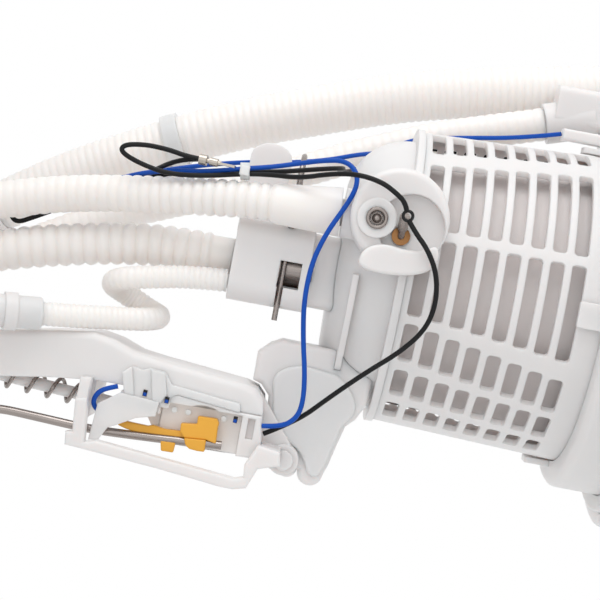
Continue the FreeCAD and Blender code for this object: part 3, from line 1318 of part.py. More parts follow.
def flange_lead_route():
    """Second black lead: from the terminal out and back through the tie, then behind the cap to the neck."""
    return [
        terminal_low() + V(0, 0.85, -0.4), V(-23.2, -41.6, -158.8), V(-20.9, -37.4, -164.6),
        V(-17.4, -26.0, -171.3), V(-10.1, -17.5, -183.0), V(-3.3, -20.5, -193.4), V(-0.6, -22.4, -199.4),
        V(3.4, -23.4, -205.9), V(6.4, -23.4, -211.6), V(3.0, -22.4, -214.4), V(-0.2, -22.3, -210.3),
        V(-3.2, -22.7, -201.8), V(-8.2, -24.2, -189.2), V(-12.9, -26.6, -176.6), V(-18.2, -34.0, -164.8),
        V(-20.4, -37.4, -151.8), V(-22.9, -40.3, -139.2), V(-24.5, -39.7, -129.8), V(-27.0, -38.2, -120.5),
        V(-29.1, -36.5, -112.7), V(-30.6, -30.0, -107.8), V(-31.0, -18.0, -109.4), V(-31.6, -4.0, -109.4),
        V(-33.6, 15.8, -105.2), V(-40.9, 22.2, -95.0), V(-47.6, 24.2, -85.0), V(-48.2, 22.6, -66.0),
        V(-49.6, 21.0, -44.0), V(-51.8, 19.5, -NECK_H - 0.4),
    ]


def tail_route():
    """Blue tail that leaves the housing's left end and curls round the guard's post."""
    return [
        V(51.5, -47.2, -166.0), V(52.6, -47.6, -169.0), V(54.2, -47.7, -171.6), V(57.1, -47.6, -172.9),
        V(59.7, -46.8, -172.0), V(60.9, -45.9, -169.4),
    ]


MAKERS = {
    "flange_cover": flange_cover,
    "flange_seal": flange_seal,
    "connector_pins": connector_pins,
    "filter_cage": filter_cage,
    "filter_canister": filter_canister,
    "canister_lid": canister_lid,
    "filter_element": filter_element,
    "end_cap": end_cap,
    "boss_screw": boss_screw,
    "stud_bush": stud_bush,
    "earth_stud": earth_stud,
    "pump_case": pump_case,
    "pump_sleeve": pump_sleeve,
    "inlet_cover": inlet_cover,
    "pump_midplate": pump_midplate,
    "outlet_cover": outlet_cover,
    "valve_poppet": valve_poppet,
    "pump_magnets": pump_magnets,
    "brush_carrier": brush_carrier,
    "motor_brushes": motor_brushes,
    "armature": armature,
    "commutator": commutator,
    "rotor_shaft": rotor_shaft,
    "impeller": impeller,
    "regulator_block": regulator_block,
    "pressure_regulator": pressure_regulator,
    "regulator_seals": regulator_seals,
    "hairpin_clip": hairpin_clip,
    "arm_bracket": arm_bracket,
    "pivot_pin": pivot_pin,
    "swing_arm": swing_arm,
    "guard_frame": guard_frame,
    "sender_housing": sender_housing,
    "sender_cover": sender_cover,
    "resistor_card": resistor_card,
    "card_rivets": card_rivets,
    "float_holder": float_holder,
    "float_arm": float_arm,
    "float_body": float_body,
    "spring_foot": spring_foot,
    "foot_spring": foot_spring,
    "outlet_hose": outlet_hose,
    "neck_coupling": neck_coupling,
    "return_hose": return_hose,
    "transfer_hose": transfer_hose,
    "transfer_coupling": transfer_coupling,
    "transfer_connector": transfer_connector,
    "jet_hose": jet_hose,
    "jet_connector": jet_connector,
    "hose_strap": hose_strap,
    "cable_tie": cable_tie,
    "lead_sleeve": lead_sleeve,
    "crimp_terminal": crimp_terminal,
    "blue_lead": lambda: tube_along("blue lead", blue_route(), LEAD_R),
    "earth_lead": lambda: tube_along("earth lead", earth_route(), LEAD_R),
    "tank_lead": lambda: tube_along("tank lead", tank_route(), LEAD_R),
    "flange_lead": lambda: tube_along("flange lead", flange_lead_route(), LEAD_R),
    "sender_tail": lambda: tube_along("sender tail", tail_route(), LEAD_R),
}

os.makedirs("parts", exist_ok=True)
for node, make in MAKERS.items():
    shape = make()
    if not shape.isValid():
        print(node, "is not valid")
    shape.exportStep(os.path.join("parts", f"{node}.step"))
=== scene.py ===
import math
from collections import namedtuple

import bpy
import numpy as np
from mathutils import Matrix, Vector


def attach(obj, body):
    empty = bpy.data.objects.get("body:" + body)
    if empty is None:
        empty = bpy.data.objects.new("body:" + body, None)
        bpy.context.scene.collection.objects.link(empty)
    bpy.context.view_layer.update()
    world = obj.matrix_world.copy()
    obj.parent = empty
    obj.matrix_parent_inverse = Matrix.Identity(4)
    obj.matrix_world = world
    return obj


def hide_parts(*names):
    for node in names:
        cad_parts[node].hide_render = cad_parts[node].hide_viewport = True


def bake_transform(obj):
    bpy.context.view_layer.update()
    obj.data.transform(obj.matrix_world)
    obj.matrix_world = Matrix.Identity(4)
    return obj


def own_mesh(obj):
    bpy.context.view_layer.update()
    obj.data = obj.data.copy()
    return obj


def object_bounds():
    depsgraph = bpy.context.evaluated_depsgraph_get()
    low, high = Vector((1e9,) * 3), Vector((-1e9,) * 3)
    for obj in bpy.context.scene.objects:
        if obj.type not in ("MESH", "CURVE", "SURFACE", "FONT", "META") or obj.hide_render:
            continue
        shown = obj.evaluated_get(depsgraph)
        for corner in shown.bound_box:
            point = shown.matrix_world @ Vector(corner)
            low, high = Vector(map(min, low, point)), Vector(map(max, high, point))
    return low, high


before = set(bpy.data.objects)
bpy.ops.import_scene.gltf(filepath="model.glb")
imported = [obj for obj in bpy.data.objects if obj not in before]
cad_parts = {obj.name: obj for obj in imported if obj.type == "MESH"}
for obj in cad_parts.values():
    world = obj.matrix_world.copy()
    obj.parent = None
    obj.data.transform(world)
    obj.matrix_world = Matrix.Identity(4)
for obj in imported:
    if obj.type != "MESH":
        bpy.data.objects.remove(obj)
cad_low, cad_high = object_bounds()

# In-tank fuel module, in metres. Z runs up the module's axis from the flange's seat, -Y is the
# photographed side and +X the level sender's side. In the picture +Z points right and -X up.

# Camera in front of the module, looking along +Y with the picture rolled
SENSOR = 36.0
FOCAL = 96.0
DISTANCE = 0.552
AIM_X = 0.0143
AIM_Z = -0.1145
ROLL = math.radians(10.5)

# Surround's strength on the object, and the lamps: name, place, size and power
AMBIENT = 0.81
LAMPS = [
    ("key_lamp", (-1.1, -0.5, -0.3), 0.8, 5.5),
    ("fill_lamp", (-0.2, -1.2, -0.4), 0.9, 1.0),
]

# Floor: how far it reaches to the sides and the front, how far behind, and its gap below the part
FLOOR_REACH = 0.3
FLOOR_BEHIND = 0.24
FLOOR_GAP = 0.0005

# Corrugated hoses: crest radius, groove depth near the first end and far from it, and rib pitch
Rib = namedtuple("Rib", "crest near far pitch")
OUTLET_RIB = Rib(0.0061, 0.0010, 0.0004, 0.0035)
RETURN_RIB = Rib(0.0070, 0.0011, 0.0009, 0.0043)
TRANSFER_RIB = Rib(0.0094, 0.0005, 0.0005, 0.0029)
JET_RIB = Rib(0.0038, 0.0004, 0.0003, 0.0019)

# Where along a hose the groove depth changes from near to far, and how wide the crests are
RIB_FADE = (0.03, 0.09)
CREST_POWER = 0.7

# Smooth cuffs at a hose's first end: radius at the end, radius at the first rib and length, and
# the stretch over which a cuff turns into ribs
OUTLET_CUFF = (0.0079, 0.0064, 0.0225)
RETURN_CUFF = (0.0063, 0.0062, 0.009)
CUFF_BLEND = 0.002

# Insulated leads, and how many points of the blue and the earth lead's routes come before the
# place where the end that bends with the sender's arm is parted off
LEAD_RADIUS = 0.0008
LEAD_WIDTH = 2 * LEAD_RADIUS
LEAD_ROUNDNESS = 4
BLUE_PARTING = 3
EARTH_PARTING = 9

# Steps between two points of a route's smooth line
CURVE_STEPS = 16

# Routes of the hoses and leads, point by point
OUTLET_ROUTE = [
    (-0.0156, -0.042, -0.1068), (-0.015, -0.042, -0.117), (-0.0146, -0.042, -0.128),
    (-0.014, -0.041, -0.1392), (-0.0121, -0.038, -0.1554), (-0.01, -0.035, -0.1715),
    (-0.0075, -0.032, -0.1879), (-0.0039, -0.03, -0.2041), (0.004, -0.03, -0.2292),
    (0.0163, -0.0147, -0.251), (0.0255, 0.0099, -0.2571), (0.0265, 0.0343, -0.2487),
    (0.0188, 0.0501, -0.2298), (0.0056, 0.051, -0.2076), (-0.0039, 0.0475, -0.1899),
    (-0.0113, 0.0435, -0.1721), (-0.0196, 0.04, -0.1508), (-0.0287, 0.0385, -0.13),
    (-0.039, 0.037, -0.1094), (-0.048, 0.0355, -0.0887), (-0.0549, 0.0345, -0.0714),
    (-0.0603, 0.0336, -0.0538), (-0.0652, 0.0331, -0.0384),
]
RETURN_ROUTE = [
    (0.0046, -0.024, -0.1386), (0.0046, -0.024, -0.152), (0.005, -0.024, -0.1643),
    (0.0068, -0.024, -0.1764), (0.0094, -0.0245, -0.1892), (0.0124, -0.025, -0.2019),
    (0.017, -0.0255, -0.2175), (0.0223, -0.0255, -0.2339), (0.031, -0.0255, -0.2627),
    (0.0419, -0.0079, -0.2843), (0.0541, 0.0205, -0.293), (0.0465, 0.0515, -0.286),
    (0.0242, 0.067, -0.268), (0.00818, 0.06325, -0.24515),
]
TRANSFER_ROUTE = [
    (0.0002, 0.0614, -0.2338), (-0.0119, 0.0586, -0.2166), (-0.0221, 0.0565, -0.1989),
    (-0.0314, 0.0547, -0.1808), (-0.0404, 0.053, -0.1626), (-0.0496, 0.0515, -0.1412),
    (-0.0587, 0.0505, -0.1162), (-0.0669, 0.05, -0.0927), (-0.0723, 0.0495, -0.072),
    (-0.0761, 0.049, -0.0548), (-0.0796, 0.0485, -0.0373), (-0.0835, 0.048, -0.0173),
]
JET_ROUTE = [
    (0.0124, -0.0334, -0.139), (0.0132, -0.0346, -0.1495), (0.0152, -0.036, -0.1605),
    (0.0176, -0.0365, -0.1719), (0.0201, -0.0287, -0.1767), (0.0226, -0.0209, -0.1719),
    (0.027, -0.021, -0.1625), (0.0282, -0.0292, -0.1577), (0.0296, -0.0374, -0.1625),
    (0.031, -0.0406, -0.173), (0.0324, -0.0447, -0.1837), (0.0339, -0.0496, -0.1994),
]
BLUE_ROUTE = [
    (0.0556, -0.0462, -0.1191), (0.0548, -0.047, -0.1131), (0.051, -0.0485, -0.1087),
    (0.0457, -0.049, -0.1077), (0.0372, -0.05, -0.1087), (0.0258, -0.051, -0.1114),
    (0.0141, -0.052, -0.1133), (0.002, -0.0525, -0.113), (-0.0081, -0.0525, -0.1101),
    (-0.0176, -0.052, -0.1055), (-0.0238, -0.0505, -0.1034), (-0.0285, -0.049, -0.1042),
    (-0.0315, -0.047, -0.1082), (-0.0307, -0.045, -0.1145), (-0.0283, -0.0425, -0.123),
    (-0.0258, -0.0418, -0.1309), (-0.02375, -0.0419, -0.1392), (-0.0204, -0.0419, -0.1517),
    (-0.0189, -0.0385, -0.1637), (-0.0166, -0.0275, -0.175), (-0.0106, -0.0208, -0.1881),
    (-0.0042, -0.0195, -0.2009), (-0.0007, -0.0195, -0.2107), (0.0014, -0.017, -0.217),
    (0.0026, -0.009, -0.2195), (0.0012, -0.0045, -0.2111), (-0.0049, -0.006, -0.1995),
    (-0.0106, -0.011, -0.1862), (-0.0173, -0.02, -0.1738), (-0.0216, -0.025, -0.1602),
    (-0.0254, -0.017, -0.15), (-0.0288, -0.007, -0.1398), (-0.0313, -0.004, -0.1264),
    (-0.0347, -0.002, -0.1138), (-0.0392, 0.005, -0.1038), (-0.0427, 0.0186, -0.095),
    (-0.0499, 0.0194, -0.085), (-0.0526, 0.0135, -0.068), (-0.0552, 0.006, -0.0494),
    (-0.058, -0.003, -0.0369),
]
EARTH_ROUTE = [
    (-0.0158, -0.0609, -0.0861), (-0.0124, -0.0612, -0.0834), (-0.0079, -0.0625, -0.0788),
    (-0.0008, -0.063, -0.0747), (0.0082, -0.062, -0.0733), (0.0164, -0.06, -0.075),
    (0.0245, -0.057, -0.0811), (0.033, -0.054, -0.0905), (0.0425, -0.05, -0.0997),
    (0.0522, -0.045, -0.1084), (0.0582, -0.0436, -0.1182),
]
TANK_ROUTE = [
    (-0.0184, -0.0606, -0.0872), (-0.0208, -0.061, -0.088), (-0.0232, -0.0612, -0.0912),
    (-0.0259, -0.061, -0.0964), (-0.0271, -0.059, -0.1043), (-0.026, -0.054, -0.1125),
    (-0.0235, -0.0475, -0.1215), (-0.0232, -0.0434, -0.1309), (-0.02205, -0.0421, -0.1392),
    (-0.0189, -0.0439, -0.1514), (-0.0175, -0.0423, -0.1632), (-0.0192, -0.042, -0.1726),
    (-0.0217, -0.0421, -0.1793), (-0.0242, -0.0422, -0.1788), (-0.0255, -0.0423, -0.1718),
    (-0.0251, -0.0432, -0.1639), (-0.0241, -0.0434, -0.1585), (-0.024, -0.04345, -0.1544),
]
FLANGE_LEAD_ROUTE = [
    (-0.024, -0.04175, -0.1544), (-0.0232, -0.0416, -0.1588), (-0.0209, -0.0374, -0.1646),
    (-0.0174, -0.026, -0.1713), (-0.0101, -0.0175, -0.183), (-0.0033, -0.0205, -0.1934),
    (-0.0006, -0.0224, -0.1994), (0.0034, -0.0234, -0.2059), (0.0064, -0.0234, -0.2116),
    (0.003, -0.0224, -0.2144), (-0.0002, -0.0223, -0.2103), (-0.0032, -0.0227, -0.2018),
    (-0.0082, -0.0242, -0.1892), (-0.0129, -0.0266, -0.1766), (-0.0182, -0.034, -0.1648),
    (-0.0204, -0.0374, -0.1518), (-0.0229, -0.0403, -0.1392), (-0.0245, -0.0397, -0.1298),
    (-0.027, -0.0382, -0.1205), (-0.0291, -0.0365, -0.1127), (-0.0306, -0.03, -0.1078),
    (-0.031, -0.018, -0.1094), (-0.0316, -0.004, -0.1094), (-0.0336, 0.0158, -0.1052),
    (-0.0409, 0.0222, -0.095), (-0.0476, 0.0242, -0.085), (-0.0482, 0.0226, -0.066),
    (-0.0496, 0.021, -0.044), (-0.0518, 0.0195, -0.0204),
]
TAIL_ROUTE = [
    (0.0515, -0.0472, -0.166), (0.0526, -0.0476, -0.169), (0.0542, -0.0477, -0.1716),
    (0.0571, -0.0476, -0.1729), (0.0597, -0.0468, -0.172), (0.0609, -0.0459, -0.1694),
]

# Corner rounding of flat pieces, and sides of round ones
ROUNDING = 0.0004
ROUNDING_STEPS = 4
LATHE_SIDES = 48

# Yellow float holder: each flat piece's (X, Z) corners, then its -Y at the rear and the front
HOLDER_PIECES = {
    "holder_blade": ([
        (0.0626, -0.1645), (0.062, -0.163), (0.0622, -0.1588), (0.0623, -0.1546),
        (0.0617, -0.1531), (0.0623, -0.1494), (0.062, -0.1443), (0.0627, -0.1429),
        (0.063, -0.1358), (0.0641, -0.1362), (0.0649, -0.1425), (0.0651, -0.1489),
        (0.0655, -0.154), (0.0651, -0.1573), (0.0645, -0.1613), (0.0638, -0.164),
    ], 0.0424, 0.0452),
    "holder_tab": ([
        (0.0622, -0.1442), (0.0594, -0.1444), (0.0588, -0.1394), (0.0562, -0.1395),
        (0.056, -0.1334), (0.0574, -0.1325), (0.0585, -0.1327), (0.0639, -0.1324),
        (0.0632, -0.1356), (0.0638, -0.1426),
    ], 0.0424, 0.0466),
    "holder_grip": ([
        (0.0638, -0.1426), (0.0632, -0.1356), (0.067, -0.1355), (0.0671, -0.1378),
        (0.0669, -0.1404), (0.0659, -0.1418),
    ], 0.043, 0.0473),
    "holder_hook": ([
        (0.066, -0.1498), (0.0658, -0.145), (0.0691, -0.1452), (0.0692, -0.1491),
    ], 0.0436, 0.0464),
}
HOLDER_SHAFT = [(0.0016, -0.0346), (0.0016, -0.0426)]
HOLDER_AXIS = (0.0625, -0.1376)

# Front of the sender's housing: its band and its two ribs, and their -Y at the rear and the front
FRONT_BAND = [
    (0.0464, -0.165), (0.0444, -0.1625), (0.045, -0.1592), (0.044, -0.1571), (0.0443, -0.1519),
    (0.048, -0.1493), (0.05, -0.1271), (0.0528, -0.1266), (0.0527, -0.1279), (0.0508, -0.1469),
    (0.0518, -0.1486), (0.0557, -0.1492), (0.0555, -0.155), (0.0542, -0.1636),
]
BAND_DEPTH = (0.0455, 0.0472)
FRONT_RIBS = [
    [(0.0468, -0.1655), (0.0444, -0.1627), (0.0536, -0.1604), (0.0541, -0.1635)],
    [(0.0442, -0.1567), (0.0447, -0.1521), (0.0517, -0.1502), (0.0545, -0.1519),
     (0.0544, -0.1545)],
]
RIB_DEPTH = (0.046, 0.048)

# Slots in the housing, as the middle's X and Z and the -Y of the face. Each slot is drawn by a dark
# piece of painted shade round its rim and the piece of blue lead in it, whose corners are measured
# from the middle.
SENDER_SLOTS = [(0.052, -0.1572, 0.0476), (0.0529, -0.15, 0.0485), (0.0552, -0.1277, 0.0466)]
SLOT_SHADE_RIM = [(-0.0010, -0.0006), (0.0010, -0.0007), (0.0011, 0.0006), (-0.0009, 0.0007)]
SLOT_LEAD = [(-0.0001, -0.0005), (0.0009, -0.0006), (0.0010, 0.0005), (-0.0001, 0.0006)]
SLOT_DEPTH = 0.0015
SLOT_LEAD_DEPTH = 0.001
SLOT_LEAD_PROUD = 0.0001
SLOT_ROUNDING = 0.0001

# Hood under the round boss and raised step on the bracket: (X, Z) corners, -Y and rounding
HOOD = [
    (-0.0004, -0.0994), (-0.0054, -0.0978), (-0.0077, -0.092), (-0.0067, -0.0856),
    (-0.0075, -0.0795), (-0.01, -0.0762), (-0.0062, -0.0745), (-0.0015, -0.0768),
    (0.0009, -0.0826), (0.0017, -0.0903), (0.0013, -0.0966),
]
HOOD_DEPTH = (0.0525, 0.0602)
HOOD_ROUNDING = 0.0016
BRACKET_STEP = [
    (0.0447, -0.1178), (0.0406, -0.1186), (0.0371, -0.1159), (0.035, -0.11), (0.0357, -0.1032),
    (0.0364, -0.0962), (0.0445, -0.0897), (0.0494, -0.0911), (0.0518, -0.0936), (0.0594, -0.0952),
    (0.0674, -0.097), (0.0704, -0.0991), (0.0696, -0.1019), (0.0656, -0.1037), (0.0619, -0.1067),
    (0.0607, -0.1112), (0.0607, -0.1145), (0.0527, -0.1163),
]
STEP_DEPTH = (0.0295, 0.0314)
STEP_ROUNDING = 0.0012

# Eyelet in the round boss: (radius, Y) from its rim inwards, and the (X, Z) of its axis
EYELET_PROFILE = [
    (0.0032, -0.047), (0.0034, -0.0573), (0.0034, -0.0579), (0.0031, -0.0582), (0.0026, -0.0582),
    (0.0023, -0.0579), (0.0021, -0.0555), (0.0013, -0.0554), (0.0012, -0.0565), (0.0009, -0.057),
    (0.0005, -0.0572),
]
EYELET_AXIS = (-0.015, -0.0957)

# Bare wire loop round the stud
LOOP_RADIUS = 0.0015
LOOP_WIRE = 0.0005
LOOP_Y = -0.0608
LOOP_AXIS = (-0.0171, -0.0866)
LOOP_SIDES = 16

# Spring between the carrier's seat and the foot
SPRING_SEAT = (0.05805, -0.027, -0.1761)
SPRING_SLOPE = (-0.061, 0, -0.998)
SPRING_RADIUS = 0.0034
SPRING_WIRE = 0.00065
SPRING_TURNS = 9
SPRING_LENGTH = 0.061
SPRING_STEPS = 30
SPRING_SIDES = 12


def set_camera():
    """Camera whose sensor is turned so that +Z runs to the right and a little down."""
    lens = bpy.data.cameras.new("photo_camera")
    lens.lens = FOCAL
    lens.sensor_width = SENSOR
    camera = bpy.data.objects.new("photo_camera", lens)
    bpy.context.scene.collection.objects.link(camera)
    right = (-math.sin(ROLL), 0, math.cos(ROLL))
    up = (-math.cos(ROLL), 0, -math.sin(ROLL))
    back = (0, -1, 0)
    turned = Matrix((right, up, back)).transposed().to_4x4()
    turned.translation = (AIM_X, -DISTANCE, AIM_Z)
    camera.matrix_world = turned
    bpy.context.scene.camera = camera


class Socket:
    """A shader value; arithmetic on it adds Math nodes."""

    def __init__(self, finish, output):
        self.finish = finish
        self.output = output

    def math(self, operation, first, second):
        return self.finish.node("ShaderNodeMath", {"operation": operation}, {0: first, 1: second})

    def __add__(self, other):
        return self.math("ADD", self, other)

    def __radd__(self, other):
        return self.math("ADD", other, self)

    def __sub__(self, other):
        return self.math("SUBTRACT", self, other)

    def __rsub__(self, other):
        return self.math("SUBTRACT", other, self)

    def __mul__(self, other):
        return self.math("MULTIPLY", self, other)

    def __rmul__(self, other):
        return self.math("MULTIPLY", other, self)


class Finish:
    """One procedural material with a Principled shader."""

    def __init__(self, name, **constants):
        self.material = bpy.data.materials.new(name)
        self.material.use_nodes = True
        self.tree = self.material.node_tree
        self.shader = next(n for n in self.tree.nodes if n.type == "BSDF_PRINCIPLED")
        for socket, value in constants.items():
            self.shader.inputs[socket.replace("_", " ")].default_value = value
        self.place = self.node("ShaderNodeTexCoord", output="Object")

    def node(self, kind, settings=None, sockets=None, output=0):
        """New node with its settings and the values or links of its sockets."""
        made = self.tree.nodes.new(kind)
        for name, value in (settings or {}).items():
            setattr(made, name, value)
        for key, value in (sockets or {}).items():
            if isinstance(value, Socket):
                self.tree.links.new(value.output, made.inputs[key])
            else:
                made.inputs[key].default_value = value
        return Socket(self, made.outputs[output])

    def feed(self, **values):
        """Link values to the shader's sockets."""
        for name, value in values.items():
            self.tree.links.new(value.output, self.shader.inputs[name.replace("_", " ")])
        return self

    def noise(self, scale, detail=3.0, roughness=0.5, vector=None):
        sockets = {"Vector": vector or self.place, "Scale": scale, "Detail": detail,
                   "Roughness": roughness}
        return self.node("ShaderNodeTexNoise", {}, sockets, "Fac")

    def mix(self, factor, first, second):
        """Colour mix of two colours."""
        sockets = {0: factor, 6: first, 7: second}
        return self.node("ShaderNodeMix", {"data_type": "RGBA"}, sockets, 2)

    def bump(self, height, strength, distance, **over):
        sockets = {"Height": height, "Strength": strength, "Distance": distance, **over}
        return self.node("ShaderNodeBump", {}, sockets)


def tone(red, green, blue, share=1.0):
    return (red * share, green * share, blue * share, 1.0)


def moulded(name, colour, roughness, shade=0.95, **constants):
    """Injection-moulded plastic: faint colour clouds, uneven gloss, a fine skin and soft edges."""
    finish = Finish(name, **constants)
    cloud = finish.noise(scale=60, detail=4)
    skin = finish.noise(scale=1800, detail=2)
    edge = finish.node("ShaderNodeBevel", {"samples": 4}, {"Radius": 0.0006})
    finish.feed(
        Base_Color=finish.mix(cloud, tone(*colour), tone(*colour, shade)),
        Roughness=roughness + (cloud - 0.5) * 0.12,
        Normal=finish.bump(skin + cloud * 0.6, 0.12, 0.0002, Normal=edge),
    )
    return finish.material


def metal(name, colour, roughness, streak=(1.0, 1.0, 1.0), shade=0.75):
    """Bare metal with drawn or turned streaks that run along the axis with the smallest scale."""
    finish = Finish(name, Metallic=1.0)
    stretched = finish.node("ShaderNodeVectorMath", {"operation": "MULTIPLY"},
                            {0: finish.place, 1: streak})
    grain = finish.noise(scale=2500, detail=2, vector=stretched)
    cloud = finish.noise(scale=90, detail=3)
    finish.feed(
        Base_Color=finish.mix(cloud * 0.5 + grain * 0.5, tone(*colour), tone(*colour, shade)),
        Roughness=roughness + (grain - 0.5) * 0.2,
        Normal=finish.bump(grain, 0.1, 0.0001),
    )
    return finish.material


def paper():
    """Filter paper: fibres in two scales."""
    finish = Finish("pleated_paper", Roughness=0.9)
    fibres = finish.noise(scale=700, detail=6, roughness=0.7)
    finish.feed(Base_Color=finish.mix(fibres, tone(0.8, 0.72, 0.56), tone(0.68, 0.6, 0.46)),
                Normal=finish.bump(fibres, 0.4, 0.0003))
    return finish.material


def rubber():
    """Black rubber with a trace of dust."""
    finish = Finish("seal_rubber_black")
    dust = finish.noise(scale=400, detail=4)
    finish.feed(Base_Color=finish.mix(dust, tone(0.02, 0.02, 0.02), tone(0.02, 0.02, 0.02, 2.2)),
                Roughness=0.62 + dust * 0.15, Normal=finish.bump(dust, 0.2, 0.0002))
    return finish.material


def foam():
    """Closed-cell foam: small pits."""
    finish = Finish("float_foam_skin", Roughness=0.85)
    cells = finish.node("ShaderNodeTexVoronoi", {}, {"Vector": finish.place, "Scale": 900.0},
                        "Distance")
    finish.feed(Base_Color=finish.mix(cells, tone(0.03, 0.03, 0.03), tone(0.1, 0.1, 0.1)),
                Normal=finish.bump(cells, 0.6, 0.0003))
    return finish.material


def make_finishes():
    """Materials of all pieces, by short name."""
    white = {"Subsurface_Weight": 0.7, "Subsurface_Radius": (1.0, 0.85, 0.8),
             "Subsurface_Scale": 0.004, "Specular_IOR_Level": 0.4}
    milky = {"Subsurface_Weight": 0.7, "Subsurface_Radius": (1.0, 0.88, 0.8),
             "Subsurface_Scale": 0.006, "Specular_IOR_Level": 0.45}
    matt = {"Specular_IOR_Level": 0.25}
    return {
        "white": moulded("white_acetal", (0.82, 0.8, 0.795), 0.38, 0.97, **white),
        "arm": moulded("arm_acetal", (0.82, 0.797, 0.79), 0.36, 0.97, **white),
        "canister": moulded("canister_grey", (0.78, 0.72, 0.705), 0.5, **white),
        "hose": moulded("hose_nylon_natural", (0.93, 0.89, 0.86), 0.34, 0.98, **milky),
        "tie": moulded("tie_nylon_white", (0.88, 0.87, 0.86), 0.4, **white),
        "yellow": moulded("holder_yellow", (0.9, 0.45, 0.05), 0.3, 0.85, Specular_IOR_Level=0.35),
        "blue": moulded("insulation_blue", (0.002, 0.085, 0.5), 0.38, 0.75, **matt),
        "black": moulded("insulation_black", (0.004, 0.004, 0.0045), 0.4, 1.6, **matt),
        # Dark nylon for the stud's loop, also used as painted shade inside the sender's slots
        "dark": moulded("dark_nylon_and_slot_shade", (0.012, 0.012, 0.013), 0.5, 1.3, **matt),
        "pale": moulded("seal_silicone_natural", (0.8, 0.79, 0.78), 0.6, 0.96, **white),
        "resin": moulded("impeller_resin", (0.12, 0.1, 0.08), 0.5),
        "ceramic": moulded("card_ceramic_white", (0.95, 0.935, 0.925), 0.5, 0.98,
                           Specular_IOR_Level=0.4),
        "steel": metal("drawn_steel", (0.36, 0.32, 0.3), 0.26, (1.0, 1.0, 0.08)),
        "case": metal("plated_steel", (0.66, 0.66, 0.65), 0.35, (1.0, 1.0, 0.1)),
        "tin": metal("tinned_brass", (0.55, 0.5, 0.44), 0.28),
        "brass": metal("turned_brass", (0.34, 0.17, 0.07), 0.32),
        "copper": metal("bare_copper", (0.72, 0.36, 0.22), 0.3),
        "ferrite": metal("dark_ferrite", (0.12, 0.12, 0.13), 0.6),
        "rubber": rubber(),
        "paper": paper(),
        "foam": foam(),
    }


NODE_FINISH = {
    "white": ["flange_cover", "filter_cage", "canister_lid", "end_cap", "regulator_block",
              "arm_bracket", "pivot_pin", "neck_coupling", "transfer_coupling",
              "transfer_connector", "jet_connector", "lead_sleeve", "outlet_cover", "inlet_cover",
              "pump_midplate", "brush_carrier"],
    "arm": ["swing_arm", "guard_frame", "sender_housing", "sender_cover", "spring_foot"],
    "canister": ["filter_canister"],
    "tie": ["cable_tie"],
    "hose": ["hose_strap"],
    "rubber": ["pump_sleeve", "regulator_seals"],
    "pale": ["flange_seal"],
    "paper": ["filter_element"],
    "steel": ["boss_screw", "earth_stud", "hairpin_clip", "rotor_shaft", "float_arm",
              "pressure_regulator"],
    "case": ["pump_case", "armature", "card_rivets"],
    "brass": ["stud_bush"],
    "tin": ["connector_pins", "crimp_terminal"],
    "ferrite": ["pump_magnets", "motor_brushes"],
    "copper": ["commutator"],
    "resin": ["impeller", "valve_poppet"],
    "ceramic": ["resistor_card"],
    "yellow": ["float_holder"],
    "foam": ["float_body"],
}


def dress_nodes(finishes):
    """Give every solid its finish."""
    for finish, nodes in NODE_FINISH.items():
        for node in nodes:
            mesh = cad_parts[node].data
            mesh.materials.clear()
            mesh.materials.append(finishes[finish])


def link(name, data, material):
    made = bpy.data.objects.new(name, data)
    bpy.context.scene.collection.objects.link(made)
    data.materials.append(material)
    return made


def new_mesh(name, points, faces):
    """Smooth mesh from arrays or lists of points and faces."""
    mesh = bpy.data.meshes.new(name)
    mesh.from_pydata(points.tolist(), [], faces)
    mesh.polygons.foreach_set("use_smooth", np.ones(len(mesh.polygons), bool))
    mesh.update()
    return mesh


def grid_mesh(name, grid, caps=True):
    """Mesh over a grid of points, closed round its second axis, with a fan over each open end."""
    rows, columns = grid.shape[:2]
    i, j = np.meshgrid(np.arange(rows - 1), np.arange(columns), indexing="ij")
    after = (j + 1) % columns
    quads = np.stack([i * columns + j, i * columns + after, (i + 1) * columns + after,
                      (i + 1) * columns + j], -1).reshape(-1, 4)
    points = grid.reshape(-1, 3)
    faces = quads.tolist()
    if caps:
        around = np.arange(columns)
        beside = (around + 1) % columns
        first, last = len(points), len(points) + 1
        points = np.vstack([points, grid[0].mean(0), grid[-1].mean(0)])
        end = (rows - 1) * columns
        faces += np.stack([np.full(columns, first), beside, around], -1).tolist()
        faces += np.stack([np.full(columns, last), end + around, end + beside], -1).tolist()
    return new_mesh(name, points, faces)


def route_curve(name, route):
    """NURBS curve of order 3 through a route's ends, with its points as control points."""
    curve = bpy.data.curves.new(name, "CURVE")
    curve.dimensions = "3D"
    spline = curve.splines.new("NURBS")
    spline.points.add(len(route) - 1)
    for point, place in zip(spline.points, route):
        point.co = (*place, 1.0)
    spline.order_u = 3
    spline.use_endpoint_u = True
    curve.resolution_u = CURVE_STEPS
    return curve


def as_mesh(curve):
    """Mesh of a curve, in place of the curve."""
    holder = bpy.data.objects.new("line", curve)
    mesh = bpy.data.meshes.new_from_object(holder)
    bpy.data.objects.remove(holder)
    bpy.data.curves.remove(curve)
    return mesh


def line_of(route, spacing):
    """Evenly spaced points on a route's smooth line, and how far along it each one is."""
    mesh = as_mesh(route_curve("line", route))
    points = np.zeros(len(mesh.vertices) * 3)
    mesh.vertices.foreach_get("co", points)
    bpy.data.meshes.remove(mesh)
    points = points.reshape(-1, 3)
    steps = np.linalg.norm(np.diff(points, axis=0), axis=1)
    travelled = np.concatenate([[0], np.cumsum(steps)])
    even = np.linspace(0, travelled[-1], max(2, round(travelled[-1] / spacing)))
    return np.stack([np.interp(even, travelled, points[:, k]) for k in range(3)], -1), even


def unit(vectors):
    return vectors / np.linalg.norm(vectors, axis=-1, keepdims=True)


